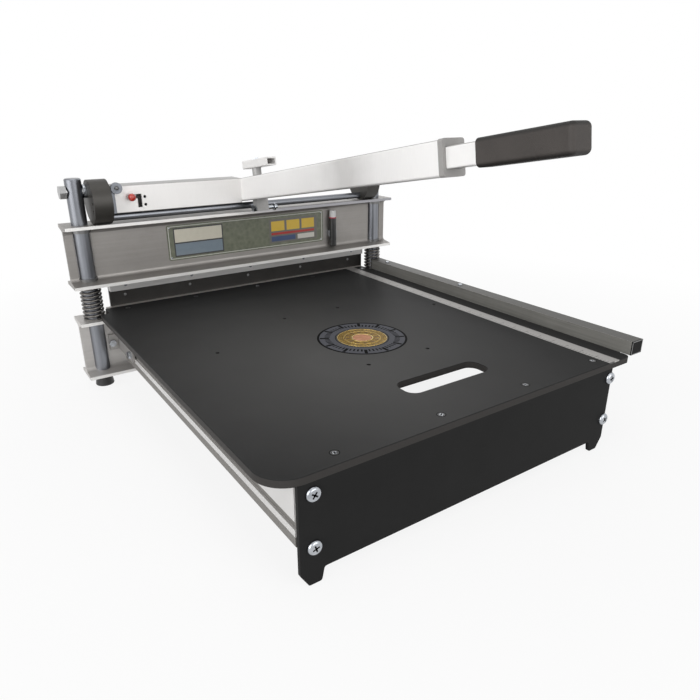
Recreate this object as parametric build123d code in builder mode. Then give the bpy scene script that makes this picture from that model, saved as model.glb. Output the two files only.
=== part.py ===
from build123d import *
import math
import os

# Laminate cutter: a flooring shear with a table, a guided blade beam and a long lever.
# +X to the right, the user stands at -Y, +Z up, floor at Z 0, sizes in millimetres.
# Depths named *_y, and the sketches on the planes below, count from the beam axis.

os.makedirs("parts", exist_ok=True)

# Beams
beam_depth = 343.07
beam_length = 648.4
beam_height = 101.6
flange_width = 58.6
flange_tip = 5.0
flange_root = 9.4
web_thickness = 6.0
web_fillet = 7.0
lower_bottom = 22.2
upper_bottom = 181.5
lower_top = lower_bottom + beam_height
upper_top = upper_bottom + beam_height
web_front = -web_thickness / 2

# Fits
running_gap = 0.08
slide_gap = 0.15
rest_gap = 0.3

# Posts, bushes and springs
post_inset = 27.7
post_x = beam_length / 2 - post_inset
post_radius = 12.7
post_top = 355.6
post_chamfer = 1.5
bush_wall = 2.3
bush_height = 13.0
wire_radius = 2.0
coil_radius = 15.5
coil_turns = 8
arc_turn_share = 0.25
spring_bottom = lower_top
spring_top = upper_bottom - rest_gap

# Feet under the posts
foot_radius = 16.0
foot_top_radius = 13.5
foot_height = 15.0
foot_round = 2.0
foot_nut_width = 22.0

# Table
table_left_inset = 33.7
table_right_inset = 43.2
table_left = table_left_inset - beam_length / 2
table_right = beam_length / 2 - table_right_inset
table_front = -636.8
table_back = 9.3
table_thickness = 9.5
table_top = lower_top + table_thickness
left_corner_radius = 38.0
right_corner_radius = 8.0
left_notch_inset = 15.5
right_notch_inset = 5.0
notch_depth = 22.0
left_notch = (table_left + left_notch_inset, -notch_depth)
right_notch = (table_right - right_notch_inset, -notch_depth)
notch_round = 6.0
slot_shares = (-0.08575, 0.12955)
slot_x = tuple(share * beam_length for share in slot_shares)
slot_inset = 77.0
slot_depth = 39.3
slot_y = (table_front + slot_inset, table_front + slot_inset + slot_depth)
slot_corner = 15.0
table_edge = 0.8
edge_margin = 8.0
plain_hole_radius = 3.0
plain_hole_shares = [
    (-0.3023, 0.4648),
    (0.3331, 0.4648),
    (-0.0663, 0.3376),
    (0.0972, 0.3376),
    (-0.0663, 0.7114),
    (0.0972, 0.7114),
]
plain_holes = [(across * beam_length, deep * table_front) for across, deep in plain_hole_shares]

# Inlays in the table
disc_centre_shares = (0.0168, 0.5685)
disc_centre = (disc_centre_shares[0] * beam_length, disc_centre_shares[1] * table_front)
disc_radius = 38.6
disc_thickness = 1.0
scale_inset = 27.2
scale_width = 21.8
scale_x = (table_right - scale_inset - scale_width, table_right - scale_inset)
scale_thickness = 1.5

# Countersunk table screws
back_row_y = -7.0
back_row_insets = (49.425, 15.999)
back_row_shares = (-0.1792, 0.0168, 0.213)
back_row_x = [
    table_left + back_row_insets[0],
    *(share * beam_length for share in back_row_shares),
    table_right - back_row_insets[1],
]
front_row_inset = 19.5
front_row_y = table_front + front_row_inset
front_row_insets = (84.309, 60.285)
front_row_shares = (-0.0939, 0.1265)
front_row_x = [
    table_left + front_row_insets[0],
    *(share * beam_length for share in front_row_shares),
    table_right - front_row_insets[1],
]
table_head_radius = 5.0
table_head_height = 2.8
table_shank_radius = 2.4
table_screw_length = 16.0

# Front panel with its two ground feet
panel_left_inset = 29.3
panel_right_inset = 40.0
panel_left = table_left + panel_left_inset
panel_right = table_right - panel_right_inset
panel_thickness = 5.0
panel_bottom = 16.4
panel_foot_outer = 10.0
panel_foot_flat = 15.5
panel_foot_inner = 3.6
panel_foot_round = 3.0
panel_screw_insets = (16.7, 5.2)
panel_screw_x = (panel_left + panel_screw_insets[0], panel_right - panel_screw_insets[1])
panel_screw_z = (46.9, 110.6)
panel_head_radius = 8.6
panel_head_height = 4.6
panel_head_round = 3.4
panel_shank_radius = 2.2

# Angles behind the panel
angle_wall = 3.0
corner_start = 2.0
corner_width = 30.0
corner_depth = 28.0
corner_z = (40.0, 118.0)
corner_wing_bottom = 61.0
cross_angle_depth = 30.0
cross_angle_height = 24.0
cross_angle_wall = 4.0
cross_angle_inset = 33.5

# Side rails
rail_back = -29.6
rail_wall = 8.0
rail_groove_z = (68.9, 78.9)
rail_groove_depth = 2.5
rail_rib_bottom = 60.1
rail_bottom = 44.8
rail_recede = 8.0
rail_lip = 5.0
rail_top_width = 30.0
rail_top_wall = 4.0

# Rail brackets and their bolts
bracket_wall = 4.0
bracket_front = -92.0
bracket_z = (62.0, 90.0)
bracket_foot = 19.0
bracket_round = 4.0
bracket_bolt_z = 75.0
bracket_bolt_y = -82.0
bracket_bolt_inset = 10.0
bolt_head_width = 11.0
bolt_head_height = 5.0
bolt_shank_radius = 3.0

# Fence on the right
fence_width = 24.7
fence_x = (table_right, table_right + fence_width)
fence_back = -19.0
fence_height = 20.0
fence_wall = 2.0
plug_cap = 1.5
plug_depth = 9.0
fence_screw_shares = (0.0942, 0.4413)
fence_screw_y = [share * table_front for share in fence_screw_shares]
fence_screw_radius = 4.0
fence_screw_height = 2.2
support_reach = 27.0
support_rim = 0.7
support_x = (table_right - support_reach, fence_x[1] - support_rim)
support_upright_x = table_right + rest_gap
support_inset = 30.8
support_back = -40.0
support_y = (table_front + support_inset, support_back)
support_wall = 4.0

# Anvil and blade
anvil_back = 19.0
anvil_y = (table_back, anvil_back)
anvil_insets = (18.5, 5.0)
anvil_x = (table_left + anvil_insets[0], table_right - anvil_insets[1])
blade_inset = 27.5
blade_x = (table_left + blade_inset, table_right)
relief_spare = 3.0
relief_x = (blade_x[0] - relief_spare, blade_x[1] + relief_spare)
relief_floor = 112.0
blade_gap = 0.3
blade_thickness = 5.0
blade_left_z = 129.0
blade_right_z = 120.0
blade_bevel = 3.0
bar_y = 5.0
bar_inset = 7.0
bar_right = blade_x[1] - bar_inset
bar_bottom = 162.7
bar_bolt_insets = (60.482, 52.507)
bar_bolt_shares = (-0.1789, 0.0062, 0.1912)
bar_bolt_x = [
    bar_bolt_insets[0] - post_x,
    *(share * beam_length for share in bar_bolt_shares),
    post_x - bar_bolt_insets[1],
]
bar_bolt_z = 172.0
bar_screw_y = 12.0
bar_screw_head = 4.5
bar_screw_seat = 188.4
bar_screw_top = 193.0
bar_screw_tip = 170.0
bar_screw_radius = 2.5
bar_screw_shift = 30.0
bar_bolt_head = 4.0
seat_spare = 0.6
seat_clear_top = 197.0

# Label plate and pen clip on the upper web
label_shares = (-0.2421, 0.2576)
label_x = tuple(share * beam_length for share in label_shares)
label_z = (204.5, 267.4)
label_thickness = 0.8
label_corner = 4.0
pen_x_share = 0.2869
pen_x = pen_x_share * beam_length
pen_y = -12.0
pen_radius = 7.2
pen_cap_radius = 6.6
pen_foot_round = 3.0
clip_wall = 1.4
clip_z = (214.0, 226.0)
clip_gap = 0.4
pen_foot_z = 192.5
pen_cap_z = 253.0
pen_top_z = 266.5
pen_cap_round = 1.5

# Axle, cams and cross rod
axle_z = 334.9
axle_radius = 6.35
axle_end_inset = 44.3
axle_end_x = post_x - axle_end_inset
axle_head_width = 19.0
axle_head_height = 10.0
washer_radius = 11.0
cam_insets = (46.5, 17.5)
cam_x = (post_x - cam_insets[0], post_x - cam_insets[1])
cam_radius = 35.4
cam_centre = (-12.0, -16.7)
cam_reach = 51.5
cam_lift = 18.2
lever_travel = 75.0
cam_lead_in = 20.0
cam_points = 14
cam_spare = 30.0
nut_recess_radius = 12.0
nut_recess_depth = 9.0
nut_height = 6.4
cam_hole_radius = 2.6
cam_hole_depth = 4.0
cam_hole_ring = 25.0
cam_hole_angles = (150, 180, 210)
rod_y = -14.0
rod_z = 292.0
rod_radius = 6.0

# Cross tube of the lever
end_plate_depth = 10.0
end_plate_x = (-cam_x[0], end_plate_depth - cam_x[0])
handle_x = -2.4
handle_width = 30.0
tube_x = (end_plate_x[1], handle_x - handle_width / 2)
tube_y = (-22.0, 16.0)
tube_z = (299.0, 342.0)
tube_wall = 3.0
end_plate_top = 338.0
boss_inset = 3.0
boss_x = tube_x[0] + boss_inset
boss_z = 339.0
boss_radius = 9.0
boss_length = 5.0
boss_pin_radius = 4.0
boss_pin_depth = 1.5
slot_width = 7.1
latch_slot_insets = (20.4, 42.5)
latch_slot_x = (tube_x[0] + latch_slot_insets[0], tube_x[0] + latch_slot_insets[1])
latch_slot_bottom = 305.6
latch_z = 323.8
tube_hole_radius = 2.4
tube_hole_inset = 47.7
tube_hole_x = tube_x[0] + tube_hole_inset
tube_hole_z = (322.4, 309.6)

# Latch
latch_inset = 24.0
latch_x = tube_x[0] + latch_inset
latch_bolt_out = 6.0
latch_bolt_in = 35.0
latch_bolt_x = (tube_x[0] - latch_bolt_out, tube_x[0] + latch_bolt_in)
latch_bolt_y = -8.0
latch_bolt_radius = 8.0
latch_guide_depth = 16.0
latch_guide_end = tube_x[0] + latch_guide_depth
stem_radius = 3.0
ball_y = -32.0
ball_radius = 6.3

# Handle along its own sloping axis
handle_y = -3.0
handle_z = 319.0
handle_slope = 9.13
handle_height = 40.0
handle_wall = 2.5
handle_corner = 3.0
handle_s = (-18.0, 553.0)
collar_s = (548.0, 556.0)
collar_width = 33.0
collar_height = 41.6
collar_corner = 3.5
arm_size = 24.0
arm_wall = 2.0
arm_corner = 2.0
arm_s = (305.0, 692.0)
shoe_s = (300.0, 330.0)
grip_s = (603.0, 720.0)
grip_size = 30.0
grip_corner = 6.0
grip_end_round = 5.6

# Clamp knob and lock block on the handle
knob_x = 3.0
knob_s = 50.0
knob_stem_radius = 8.0
knob_stem_height = 14.0
knob_bar_length = 72.0
knob_bar_width = 21.0
knob_bar_height = 14.0
knob_bar_wall = 2.5
knob_bar_round = 1.5
knob_bar_turn = -80.0
knob_bar_shift = 9.0
knob_screw_radius = 4.0
knob_screw_tip = -28.0
knob_cap_width = 10.0
knob_cap_height = 3.0
lock_width = 22.0
lock_depth = 16.0
lock_bottom = -40.8
lock_bolt_rise = -35.5
lock_bolt_radius = 3.2
lock_bolt_x = (-14.0, 35.0)
lock_head_width = 10.0
lock_head_height = 6.0

bottom_align = (Align.CENTER, Align.CENTER, Align.MIN)
sides = (("left", -1), ("right", 1))


def middle(limits):
    """Middle of a (low, high) pair."""
    return (limits[0] + limits[1]) / 2


def span(limits):
    """Length of a (low, high) pair."""
    return limits[1] - limits[0]


def level(z):
    """Horizontal plane at height z: sketch X, Y are X and depth from the beam axis."""
    return Plane(origin=(0, beam_depth, z))


def upright(y):
    """Vertical plane facing the user: sketch X, Y are X and Z, outward is -Y."""
    return Plane(origin=(0, beam_depth + y, 0), x_dir=(1, 0, 0), z_dir=(0, -1, 0))


def sideways(x):
    """Plane across the beam: sketch X, Y are depth from the beam axis and Z, outward is +X."""
    return Plane(origin=(x, beam_depth, 0), x_dir=(0, 1, 0), z_dir=(1, 0, 0))


slope = math.radians(handle_slope)
handle_plane = Plane(
    origin=(handle_x, beam_depth + handle_y, handle_z),
    x_dir=(1, 0, 0),
    z_dir=(0, -math.cos(slope), math.sin(slope)),
)


def handle_point(x, s, rise):
    """Point beside the handle axis: x across, s along it, rise square to it."""
    y = beam_depth + handle_y - s * math.cos(slope) + rise * math.sin(slope)
    return (x, y, handle_z + s * math.sin(slope) + rise * math.cos(slope))


def knob_plane(rise):
    """Plane square to the clamp screw, rise above the handle axis."""
    return Plane(
        origin=handle_point(knob_x, knob_s, rise),
        x_dir=(1, 0, 0),
        z_dir=(0, math.sin(slope), math.cos(slope)),
    )


def handle_side(x):
    """Plane across X at x, through the clamp screw: sketch Y is square to the handle."""
    return Plane(
        origin=handle_point(x, knob_s, 0),
        x_dir=(0, -math.cos(slope), math.sin(slope)),
        z_dir=(-1, 0, 0),
    )


def slab(x_limits, y_limits, z_limits):
    """Plain block between three pairs of limits."""
    with BuildPart() as block:
        with BuildSketch(level(z_limits[0])):
            with Locations((middle(x_limits), middle(y_limits))):
                Rectangle(span(x_limits), span(y_limits))
        extrude(amount=span(z_limits))
    return block


def bolt_along(plane, head_width, head_height, shank_radius, shank_length):
    """Hex bolt on a plane: the head outward, the shank inward."""
    with BuildPart() as bolt:
        with BuildSketch(plane):
            RegularPolygon(head_width / 2, 6, major_radius=False)
        extrude(amount=head_height)
        with BuildSketch(plane):
            Circle(shank_radius)
        extrude(amount=-shank_length)
    return bolt


def i_beam(bottom, bore_radius):
    """I-beam with tapered flanges along X, bored for the two posts."""
    right = [
        (flange_width / 2, 0),
        (flange_width / 2, flange_tip),
        (web_thickness / 2, flange_root),
        (web_thickness / 2, beam_height - flange_root),
        (flange_width / 2, beam_height - flange_tip),
        (flange_width / 2, beam_height),
    ]
    left = [(-y, z) for y, z in reversed(right)]
    start = Plane(origin=(-beam_length / 2, beam_depth, bottom), x_dir=(0, 1, 0), z_dir=(1, 0, 0))
    with BuildPart() as beam:
        with BuildSketch(start) as profile:
            with BuildLine():
                Polyline(*right, *left, close=True)
            make_face()
            inner = profile.vertices().filter_by(lambda v: abs(v.X) < web_thickness)
            fillet(inner, web_fillet)
        extrude(amount=beam_length)
        with BuildSketch(level(bottom)):
            with Locations((-post_x, 0), (post_x, 0)):
                Circle(bore_radius)
        extrude(amount=beam_height, mode=Mode.SUBTRACT)
    return beam


# Guide posts
with BuildPart() as axle_bore:
    with BuildSketch(sideways(-beam_length / 2)):
        with Locations((0, axle_z)):
            Circle(axle_radius)
    extrude(amount=beam_length)

for side, sign in sides:
    with BuildPart() as post:
        with BuildSketch(level(lower_bottom)):
            with Locations((sign * post_x, 0)):
                Circle(post_radius)
        extrude(amount=post_top - lower_bottom)
        chamfer(post.faces().sort_by(Axis.Z)[-1].edges(), post_chamfer)
        add(axle_bore.part, mode=Mode.SUBTRACT)
    post.part.label = f"post_{side}"
    export_step(post.part, f"parts/post_{side}.step")


# Feet and their nuts
for side, sign in sides:
    with BuildPart() as foot:
        with BuildSketch(level(0)):
            with Locations((sign * post_x, 0)):
                Circle(foot_radius)
        with BuildSketch(level(foot_height)):
            with Locations((sign * post_x, 0)):
                Circle(foot_top_radius)
        loft(ruled=True)
        fillet(foot.faces().sort_by(Axis.Z)[0].edges(), foot_round)
    foot.part.label = f"foot_{side}"
    export_step(foot.part, f"parts/foot_{side}.step")

with BuildPart() as foot_nuts:
    with BuildSketch(level(foot_height)):
        with Locations((-post_x, 0), (post_x, 0)):
            RegularPolygon(foot_nut_width / 2, 6, major_radius=False)
    extrude(amount=lower_bottom - foot_height)
foot_nuts.part.label = "foot_nuts"
export_step(foot_nuts.part, "parts/foot_nuts.step")


# Return springs: an open helix from biarcs of a quarter turn
helix_rise = spring_top - spring_bottom - 2 * wire_radius
pitch = helix_rise / coil_turns
helix_speed = math.hypot(2 * math.pi * coil_radius, pitch)


def helix_point(centre_x, turn):
    """Point on the spring's centre line after a number of turns."""
    angle = 2 * math.pi * turn
    x = centre_x + coil_radius * math.cos(angle)
    y = beam_depth + coil_radius * math.sin(angle)
    return Vector(x, y, spring_bottom + wire_radius + pitch * turn)


def helix_tangent(turn):
    """Unit tangent of the spring's centre line after a number of turns."""
    angle = 2 * math.pi * turn
    across = 2 * math.pi * coil_radius / helix_speed
    return Vector(-across * math.sin(angle), across * math.cos(angle), pitch / helix_speed)


def biarc(start, start_tangent, end, end_tangent):
    """Joint and its tangent for two arcs that link two tangent ends."""
    chord = end - start
    both = start_tangent + end_tangent
    a = both.dot(both) - 4
    b = -2 * chord.dot(both)
    c = chord.dot(chord)
    reach = (-b - math.sqrt(b * b - 4 * a * c)) / (2 * a)
    corner = start + start_tangent * reach
    joint = (corner + end - end_tangent * reach) * 0.5
    return joint, joint - corner


def coil_spring(centre_x):
    """One unbroken coil between the two beams."""
    steps = round(coil_turns / arc_turn_share)
    with BuildPart() as coil:
        with BuildLine() as path:
            for step in range(steps):
                start = helix_point(centre_x, step * arc_turn_share)
                end = helix_point(centre_x, (step + 1) * arc_turn_share)
                first = helix_tangent(step * arc_turn_share)
                last = helix_tangent((step + 1) * arc_turn_share)
                joint, joint_tangent = biarc(start, first, end, last)
                TangentArc(start, joint, tangent=first)
                TangentArc(joint, end, tangent=joint_tangent)
        with BuildSketch(Plane(origin=helix_point(centre_x, 0), z_dir=helix_tangent(0))):
            Circle(wire_radius)
        sweep(path=path.wires()[0])
    return coil, path.wires()[0].length


def least_gap(centre_x):
    """Least gap between turns, measured on points half a turn or more apart."""
    per_turn = 24
    points = [helix_point(centre_x, i / per_turn) for i in range(coil_turns * per_turn + 1)]
    nearest = min(
        (points[i] - points[j]).length
        for i in range(len(points))
        for j in range(i + per_turn // 2, len(points))
    )
    return nearest - 2 * wire_radius


for side, sign in sides:
    spring, wire_length = coil_spring(sign * post_x)
    spring.part.label = f"spring_{side}"
    export_step(spring.part, f"parts/spring_{side}.step")
    tube_volume = math.pi * wire_radius**2 * wire_length
    print(f"spring_{side}: volume share {spring.part.volume / tube_volume:.4f}")
    print(f"spring_{side}: least gap {least_gap(sign * post_x):.2f} mm")


# Bolts of the rail brackets, left and right
rail_faces = (("left", panel_left, 1), ("right", panel_right, -1))
bracket_bolts = []
for side, face_x, inward in rail_faces:
    outer_x = face_x - inward * bracket_wall
    side_plane = Plane(
        origin=(outer_x, beam_depth + bracket_bolt_y, bracket_bolt_z),
        x_dir=(0, inward, 0),
        z_dir=(-inward, 0, 0),
    )
    web_plane = Plane(
        origin=(
            outer_x - inward * bracket_bolt_inset,
            beam_depth + web_front - bracket_wall,
            bracket_bolt_z,
        ),
        x_dir=(1, 0, 0),
        z_dir=(0, -1, 0),
    )
    for plane in (side_plane, web_plane):
        bolt_length = bracket_wall + (rail_wall if plane is side_plane else web_thickness)
        bolt = bolt_along(plane, bolt_head_width, bolt_head_height, bolt_shank_radius, bolt_length)
        bracket_bolts.append(bolt.part)

with BuildPart() as bracket_bolt_set:
    for bolt_part in bracket_bolts:
        add(bolt_part)
bracket_bolt_set.part.label = "bracket_bolts"
export_step(bracket_bolt_set.part, "parts/bracket_bolts.step")

for side, face_x, inward in rail_faces:
    outer_x = face_x - inward * bracket_wall
    foot_x = outer_x - inward * (bracket_foot - bracket_wall)
    with BuildPart() as bracket:
        with BuildSketch(level(bracket_z[0])):
            with BuildLine():
                Polyline(
                    (face_x, bracket_front),
                    (outer_x, bracket_front),
                    (outer_x, web_front - bracket_wall),
                    (foot_x, web_front - bracket_wall),
                    (foot_x, web_front),
                    (face_x, web_front),
                    close=True,
                )
            make_face()
        extrude(amount=span(bracket_z))
        ends = bracket.edges().filter_by(Axis.X).group_by(Axis.Y)[0]
        fillet(ends, bracket_round)
        add(bracket_bolt_set.part, mode=Mode.SUBTRACT)
    bracket.part.label = f"rail_bracket_{side}"
    export_step(bracket.part, f"parts/rail_bracket_{side}.step")


# Table screws, countersunk
screw_points = [(x, back_row_y) for x in back_row_x] + [(x, front_row_y) for x in front_row_x]
with BuildPart(level(table_top)) as table_screws:
    with Locations(*screw_points):
        Cylinder(
            table_shank_radius,
            table_screw_length,
            align=(Align.CENTER, Align.CENTER, Align.MAX),
        )
        Cone(
            table_shank_radius,
            table_head_radius,
            table_head_height,
            align=(Align.CENTER, Align.CENTER, Align.MAX),
        )
table_screws.part.label = "table_screws"
export_step(table_screws.part, "parts/table_screws.step")


# Lower beam: cleared behind the anvil for the blade
lower_blank = i_beam(lower_bottom, post_radius)
with BuildPart() as lower_beam:
    add(lower_blank.part)
    with BuildSketch(level(relief_floor)):
        with Locations((middle(relief_x), (anvil_y[1] + flange_width) / 2)):
            Rectangle(span(relief_x), flange_width - anvil_y[1])
    extrude(amount=lower_top - relief_floor, mode=Mode.SUBTRACT)
    add(bracket_bolt_set.part, mode=Mode.SUBTRACT)
    add(table_screws.part, mode=Mode.SUBTRACT)
lower_beam.part.label = "lower_beam"
export_step(lower_beam.part, "parts/lower_beam.step")


# Inlays
with BuildPart() as medallion_disc:
    with BuildSketch(level(table_top - disc_thickness)):
        with Locations(disc_centre):
            Circle(disc_radius)
    extrude(amount=disc_thickness)
medallion_disc.part.label = "medallion_disc"
export_step(medallion_disc.part, "parts/medallion_disc.step")

scale_strip = slab(scale_x, (table_front, table_back), (table_top - scale_thickness, table_top))
scale_strip.part.label = "scale_strip"
export_step(scale_strip.part, "parts/scale_strip.step")


# Table plate with its notches round the posts
with BuildPart() as table_plate:
    with BuildSketch(level(lower_top)) as outline:
        with BuildLine():
            Polyline(
                (table_left, table_front),
                (table_right, table_front),
                (table_right, right_notch[1]),
                right_notch,
                (right_notch[0], table_back),
                (left_notch[0], table_back),
                left_notch,
                (table_left, left_notch[1]),
                close=True,
            )
        make_face()
        front_corners = outline.vertices().group_by(Axis.Y)[0].sort_by(Axis.X)
        fillet(front_corners[0], left_corner_radius)
        front_right = outline.vertices().group_by(Axis.Y)[0].sort_by(Axis.X)[-1]
        fillet(front_right, right_corner_radius)
        inner_left = outline.vertices().sort_by_distance(left_notch)[0]
        fillet(inner_left, notch_round)
        with Locations((middle(slot_x), middle(slot_y))):
            RectangleRounded(span(slot_x), span(slot_y), slot_corner, mode=Mode.SUBTRACT)
        with Locations(*plain_holes):
            Circle(plain_hole_radius, mode=Mode.SUBTRACT)
    extrude(amount=table_thickness)
    top_edges = table_plate.faces().sort_by(Axis.Z)[-1].outer_wire().edges()
    front_y = beam_depth + table_front - edge_margin
    rear_y = beam_depth - notch_depth - edge_margin
    chamfer(top_edges.filter_by_position(Axis.Y, front_y, rear_y), table_edge)
    add(table_screws.part, mode=Mode.SUBTRACT)
    add(medallion_disc.part, mode=Mode.SUBTRACT)
    add(scale_strip.part, mode=Mode.SUBTRACT)
table_plate.part.label = "table_plate"
export_step(table_plate.part, "parts/table_plate.step")


# Front panel on its two ground feet
panel_y = table_front + panel_thickness
screw_reach = panel_thickness + angle_wall
with BuildPart() as panel_screws:
    with BuildSketch(upright(table_front)):
        with Locations(*[(x, z) for x in panel_screw_x for z in panel_screw_z]):
            Circle(panel_head_radius)
    extrude(amount=panel_head_height)
    fillet(panel_screws.faces().group_by(Axis.Y)[0].edges(), panel_head_round)
    with BuildSketch(upright(table_front)):
        with Locations(*[(x, z) for x in panel_screw_x for z in panel_screw_z]):
            Circle(panel_shank_radius)
    extrude(amount=-screw_reach)
panel_screws.part.label = "panel_screws"
export_step(panel_screws.part, "parts/panel_screws.step")

with BuildPart() as front_panel:
    with BuildSketch(upright(table_front)) as panel_outline:
        with BuildLine():
            foot_shape = []
            for edge_x, inward in ((panel_left, 1), (panel_right, -1)):
                flat = edge_x + inward * panel_foot_outer
                heel = flat + inward * panel_foot_flat
                arch = heel + inward * panel_foot_inner
                corners = [(edge_x, panel_bottom), (flat, 0), (heel, 0), (arch, panel_bottom)]
                foot_shape += corners if inward > 0 else corners[::-1]
            Polyline(*foot_shape, (panel_right, lower_top), (panel_left, lower_top), close=True)
        make_face()
        foot_corners = panel_outline.vertices().filter_by(lambda v: v.Y < panel_bottom + rest_gap)
        fillet(foot_corners, panel_foot_round)
    extrude(amount=-panel_thickness)
    add(panel_screws.part, mode=Mode.SUBTRACT)
front_panel.part.label = "front_panel"
export_step(front_panel.part, "parts/front_panel.step")


# Angles behind the panel
for side, face_x, inward in rail_faces:
    near = face_x + inward * corner_start
    far = near + inward * corner_width
    wall_x = face_x + inward * rail_wall
    with BuildPart() as corner_angle:
        with BuildSketch(level(corner_z[0])):
            with Locations(((near + far) / 2, panel_y + angle_wall / 2)):
                Rectangle(corner_width, angle_wall)
        extrude(amount=span(corner_z))
        with BuildSketch(level(corner_wing_bottom)):
            with Locations((wall_x + inward * angle_wall / 2, panel_y + corner_depth / 2)):
                Rectangle(angle_wall, corner_depth)
        extrude(amount=corner_z[1] - corner_wing_bottom)
        add(panel_screws.part, mode=Mode.SUBTRACT)
    corner_angle.part.label = f"corner_angle_{side}"
    export_step(corner_angle.part, f"parts/corner_angle_{side}.step")

cross_x = (panel_left + cross_angle_inset, panel_right - cross_angle_inset)
with BuildPart() as cross_angle:
    with BuildSketch(sideways(cross_x[0])):
        with BuildLine():
            Polyline(
                (panel_y, lower_top),
                (panel_y, lower_top - cross_angle_height),
                (panel_y + cross_angle_wall, lower_top - cross_angle_height),
                (panel_y + cross_angle_wall, lower_top - cross_angle_wall),
                (panel_y + cross_angle_depth, lower_top - cross_angle_wall),
                (panel_y + cross_angle_depth, lower_top),
                close=True,
            )
        make_face()
    extrude(amount=span(cross_x))
    add(table_screws.part, mode=Mode.SUBTRACT)
cross_angle.part.label = "cross_angle"
export_step(cross_angle.part, "parts/cross_angle.step")


# Side rails, extruded front to back
for side, face_x, inward in rail_faces:
    section = [
        (0, lower_top),
        (0, rail_groove_z[1]),
        (rail_groove_depth, rail_groove_z[1]),
        (rail_groove_depth, rail_groove_z[0]),
        (0, rail_groove_z[0]),
        (0, rail_rib_bottom),
        (rail_recede, rail_bottom),
        (rail_recede + rail_lip, rail_bottom),
        (rail_wall, rail_rib_bottom),
        (rail_wall, lower_top - rail_top_wall),
        (rail_top_width, lower_top - rail_top_wall),
        (rail_top_width, lower_top),
    ]
    with BuildPart() as rail:
        with BuildSketch(upright(panel_y + angle_wall)):
            with BuildLine():
                Polyline(*[(face_x + inward * u, z) for u, z in section], close=True)
            make_face()
        extrude(amount=-(rail_back - panel_y - angle_wall))
        add(bracket_bolt_set.part, mode=Mode.SUBTRACT)
        add(table_screws.part, mode=Mode.SUBTRACT)
    rail.part.label = f"rail_{side}"
    export_step(rail.part, f"parts/rail_{side}.step")


# Fence tube, end plugs, screws and the support under it
fence_z = (table_top, table_top + fence_height)
fence_tube_y = (table_front + plug_cap, fence_back - plug_cap)
fence_centre = (middle(fence_x), middle(fence_z))
fence_inner = (span(fence_x) - 2 * fence_wall, fence_height - 2 * fence_wall)

with BuildPart(level(fence_z[1])) as fence_screws:
    with Locations(*[(fence_centre[0], y) for y in fence_screw_y]):
        Cylinder(fence_screw_radius, fence_screw_height, align=bottom_align)
        Cylinder(
            table_shank_radius,
            fence_height,
            align=(Align.CENTER, Align.CENTER, Align.MAX),
        )
    crowns = fence_screws.faces().group_by(Axis.Z)[-1].edges()
    fillet(crowns, fence_screw_height / 2)
fence_screws.part.label = "fence_screws"
export_step(fence_screws.part, "parts/fence_screws.step")

with BuildPart() as fence_tube:
    with BuildSketch(upright(fence_tube_y[0])):
        with Locations(fence_centre):
            Rectangle(span(fence_x), fence_height)
            Rectangle(*fence_inner, mode=Mode.SUBTRACT)
    extrude(amount=-span(fence_tube_y))
    add(fence_screws.part, mode=Mode.SUBTRACT)
fence_tube.part.label = "fence_tube"
export_step(fence_tube.part, "parts/fence_tube.step")

with BuildPart() as fence_plugs:
    for mouth_y, outward in ((fence_tube_y[0], 1), (fence_tube_y[1], -1)):
        with BuildSketch(upright(mouth_y)):
            with Locations(fence_centre):
                Rectangle(span(fence_x), fence_height)
        extrude(amount=outward * plug_cap)
        with BuildSketch(upright(mouth_y)):
            with Locations(fence_centre):
                Rectangle(*fence_inner)
        extrude(amount=-outward * plug_depth)
fence_plugs.part.label = "fence_plugs"
export_step(fence_plugs.part, "parts/fence_plugs.step")

with BuildPart() as fence_support:
    with BuildSketch(upright(support_y[0])):
        with BuildLine():
            Polyline(
                (support_x[0], lower_top),
                (support_x[0], lower_top - support_wall),
                (support_x[1], lower_top - support_wall),
                (support_x[1], table_top),
                (support_upright_x, table_top),
                (support_upright_x, lower_top),
                close=True,
            )
        make_face()
    extrude(amount=-span(support_y))
fence_support.part.label = "fence_support"
export_step(fence_support.part, "parts/fence_support.step")


# Anvil bar on the lower flange
anvil = slab(anvil_x, anvil_y, (lower_top, table_top))
anvil.part.label = "anvil"
export_step(anvil.part, "parts/anvil.step")


# Blade, the bar that carries it and their fasteners
blade_front = anvil_y[1] + blade_gap
with BuildPart() as blade_bolts:
    with BuildSketch(upright(blade_front + blade_thickness)):
        with Locations(*[(x, bar_bolt_z) for x in bar_bolt_x]):
            RegularPolygon(bolt_head_width / 2, 6, major_radius=False)
    extrude(amount=-bar_bolt_head)
    with BuildSketch(upright(blade_front + blade_thickness)):
        with Locations(*[(x, bar_bolt_z) for x in bar_bolt_x]):
            Circle(bolt_shank_radius)
    extrude(amount=blade_front + blade_thickness - bar_y)
blade_bolts.part.label = "blade_bolts"
export_step(blade_bolts.part, "parts/blade_bolts.step")

bar_screw_points = [(x + bar_screw_shift, bar_screw_y) for x in bar_bolt_x]
with BuildPart() as bar_screws:
    with BuildSketch(level(bar_screw_seat)):
        with Locations(*bar_screw_points):
            Circle(bar_screw_head)
    extrude(amount=bar_screw_top - bar_screw_seat)
    with BuildSketch(level(bar_screw_tip)):
        with Locations(*bar_screw_points):
            Circle(bar_screw_radius)
    extrude(amount=bar_screw_seat - bar_screw_tip)
bar_screws.part.label = "bar_screws"
export_step(bar_screws.part, "parts/bar_screws.step")

bar_blank = slab((blade_x[0], bar_right), (bar_y, blade_front), (bar_bottom, upper_bottom))
with BuildPart() as blade_bar:
    add(bar_blank.part)
    add(blade_bolts.part, mode=Mode.SUBTRACT)
    add(bar_screws.part, mode=Mode.SUBTRACT)
blade_bar.part.label = "blade_bar"
export_step(blade_bar.part, "parts/blade_bar.step")

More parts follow.
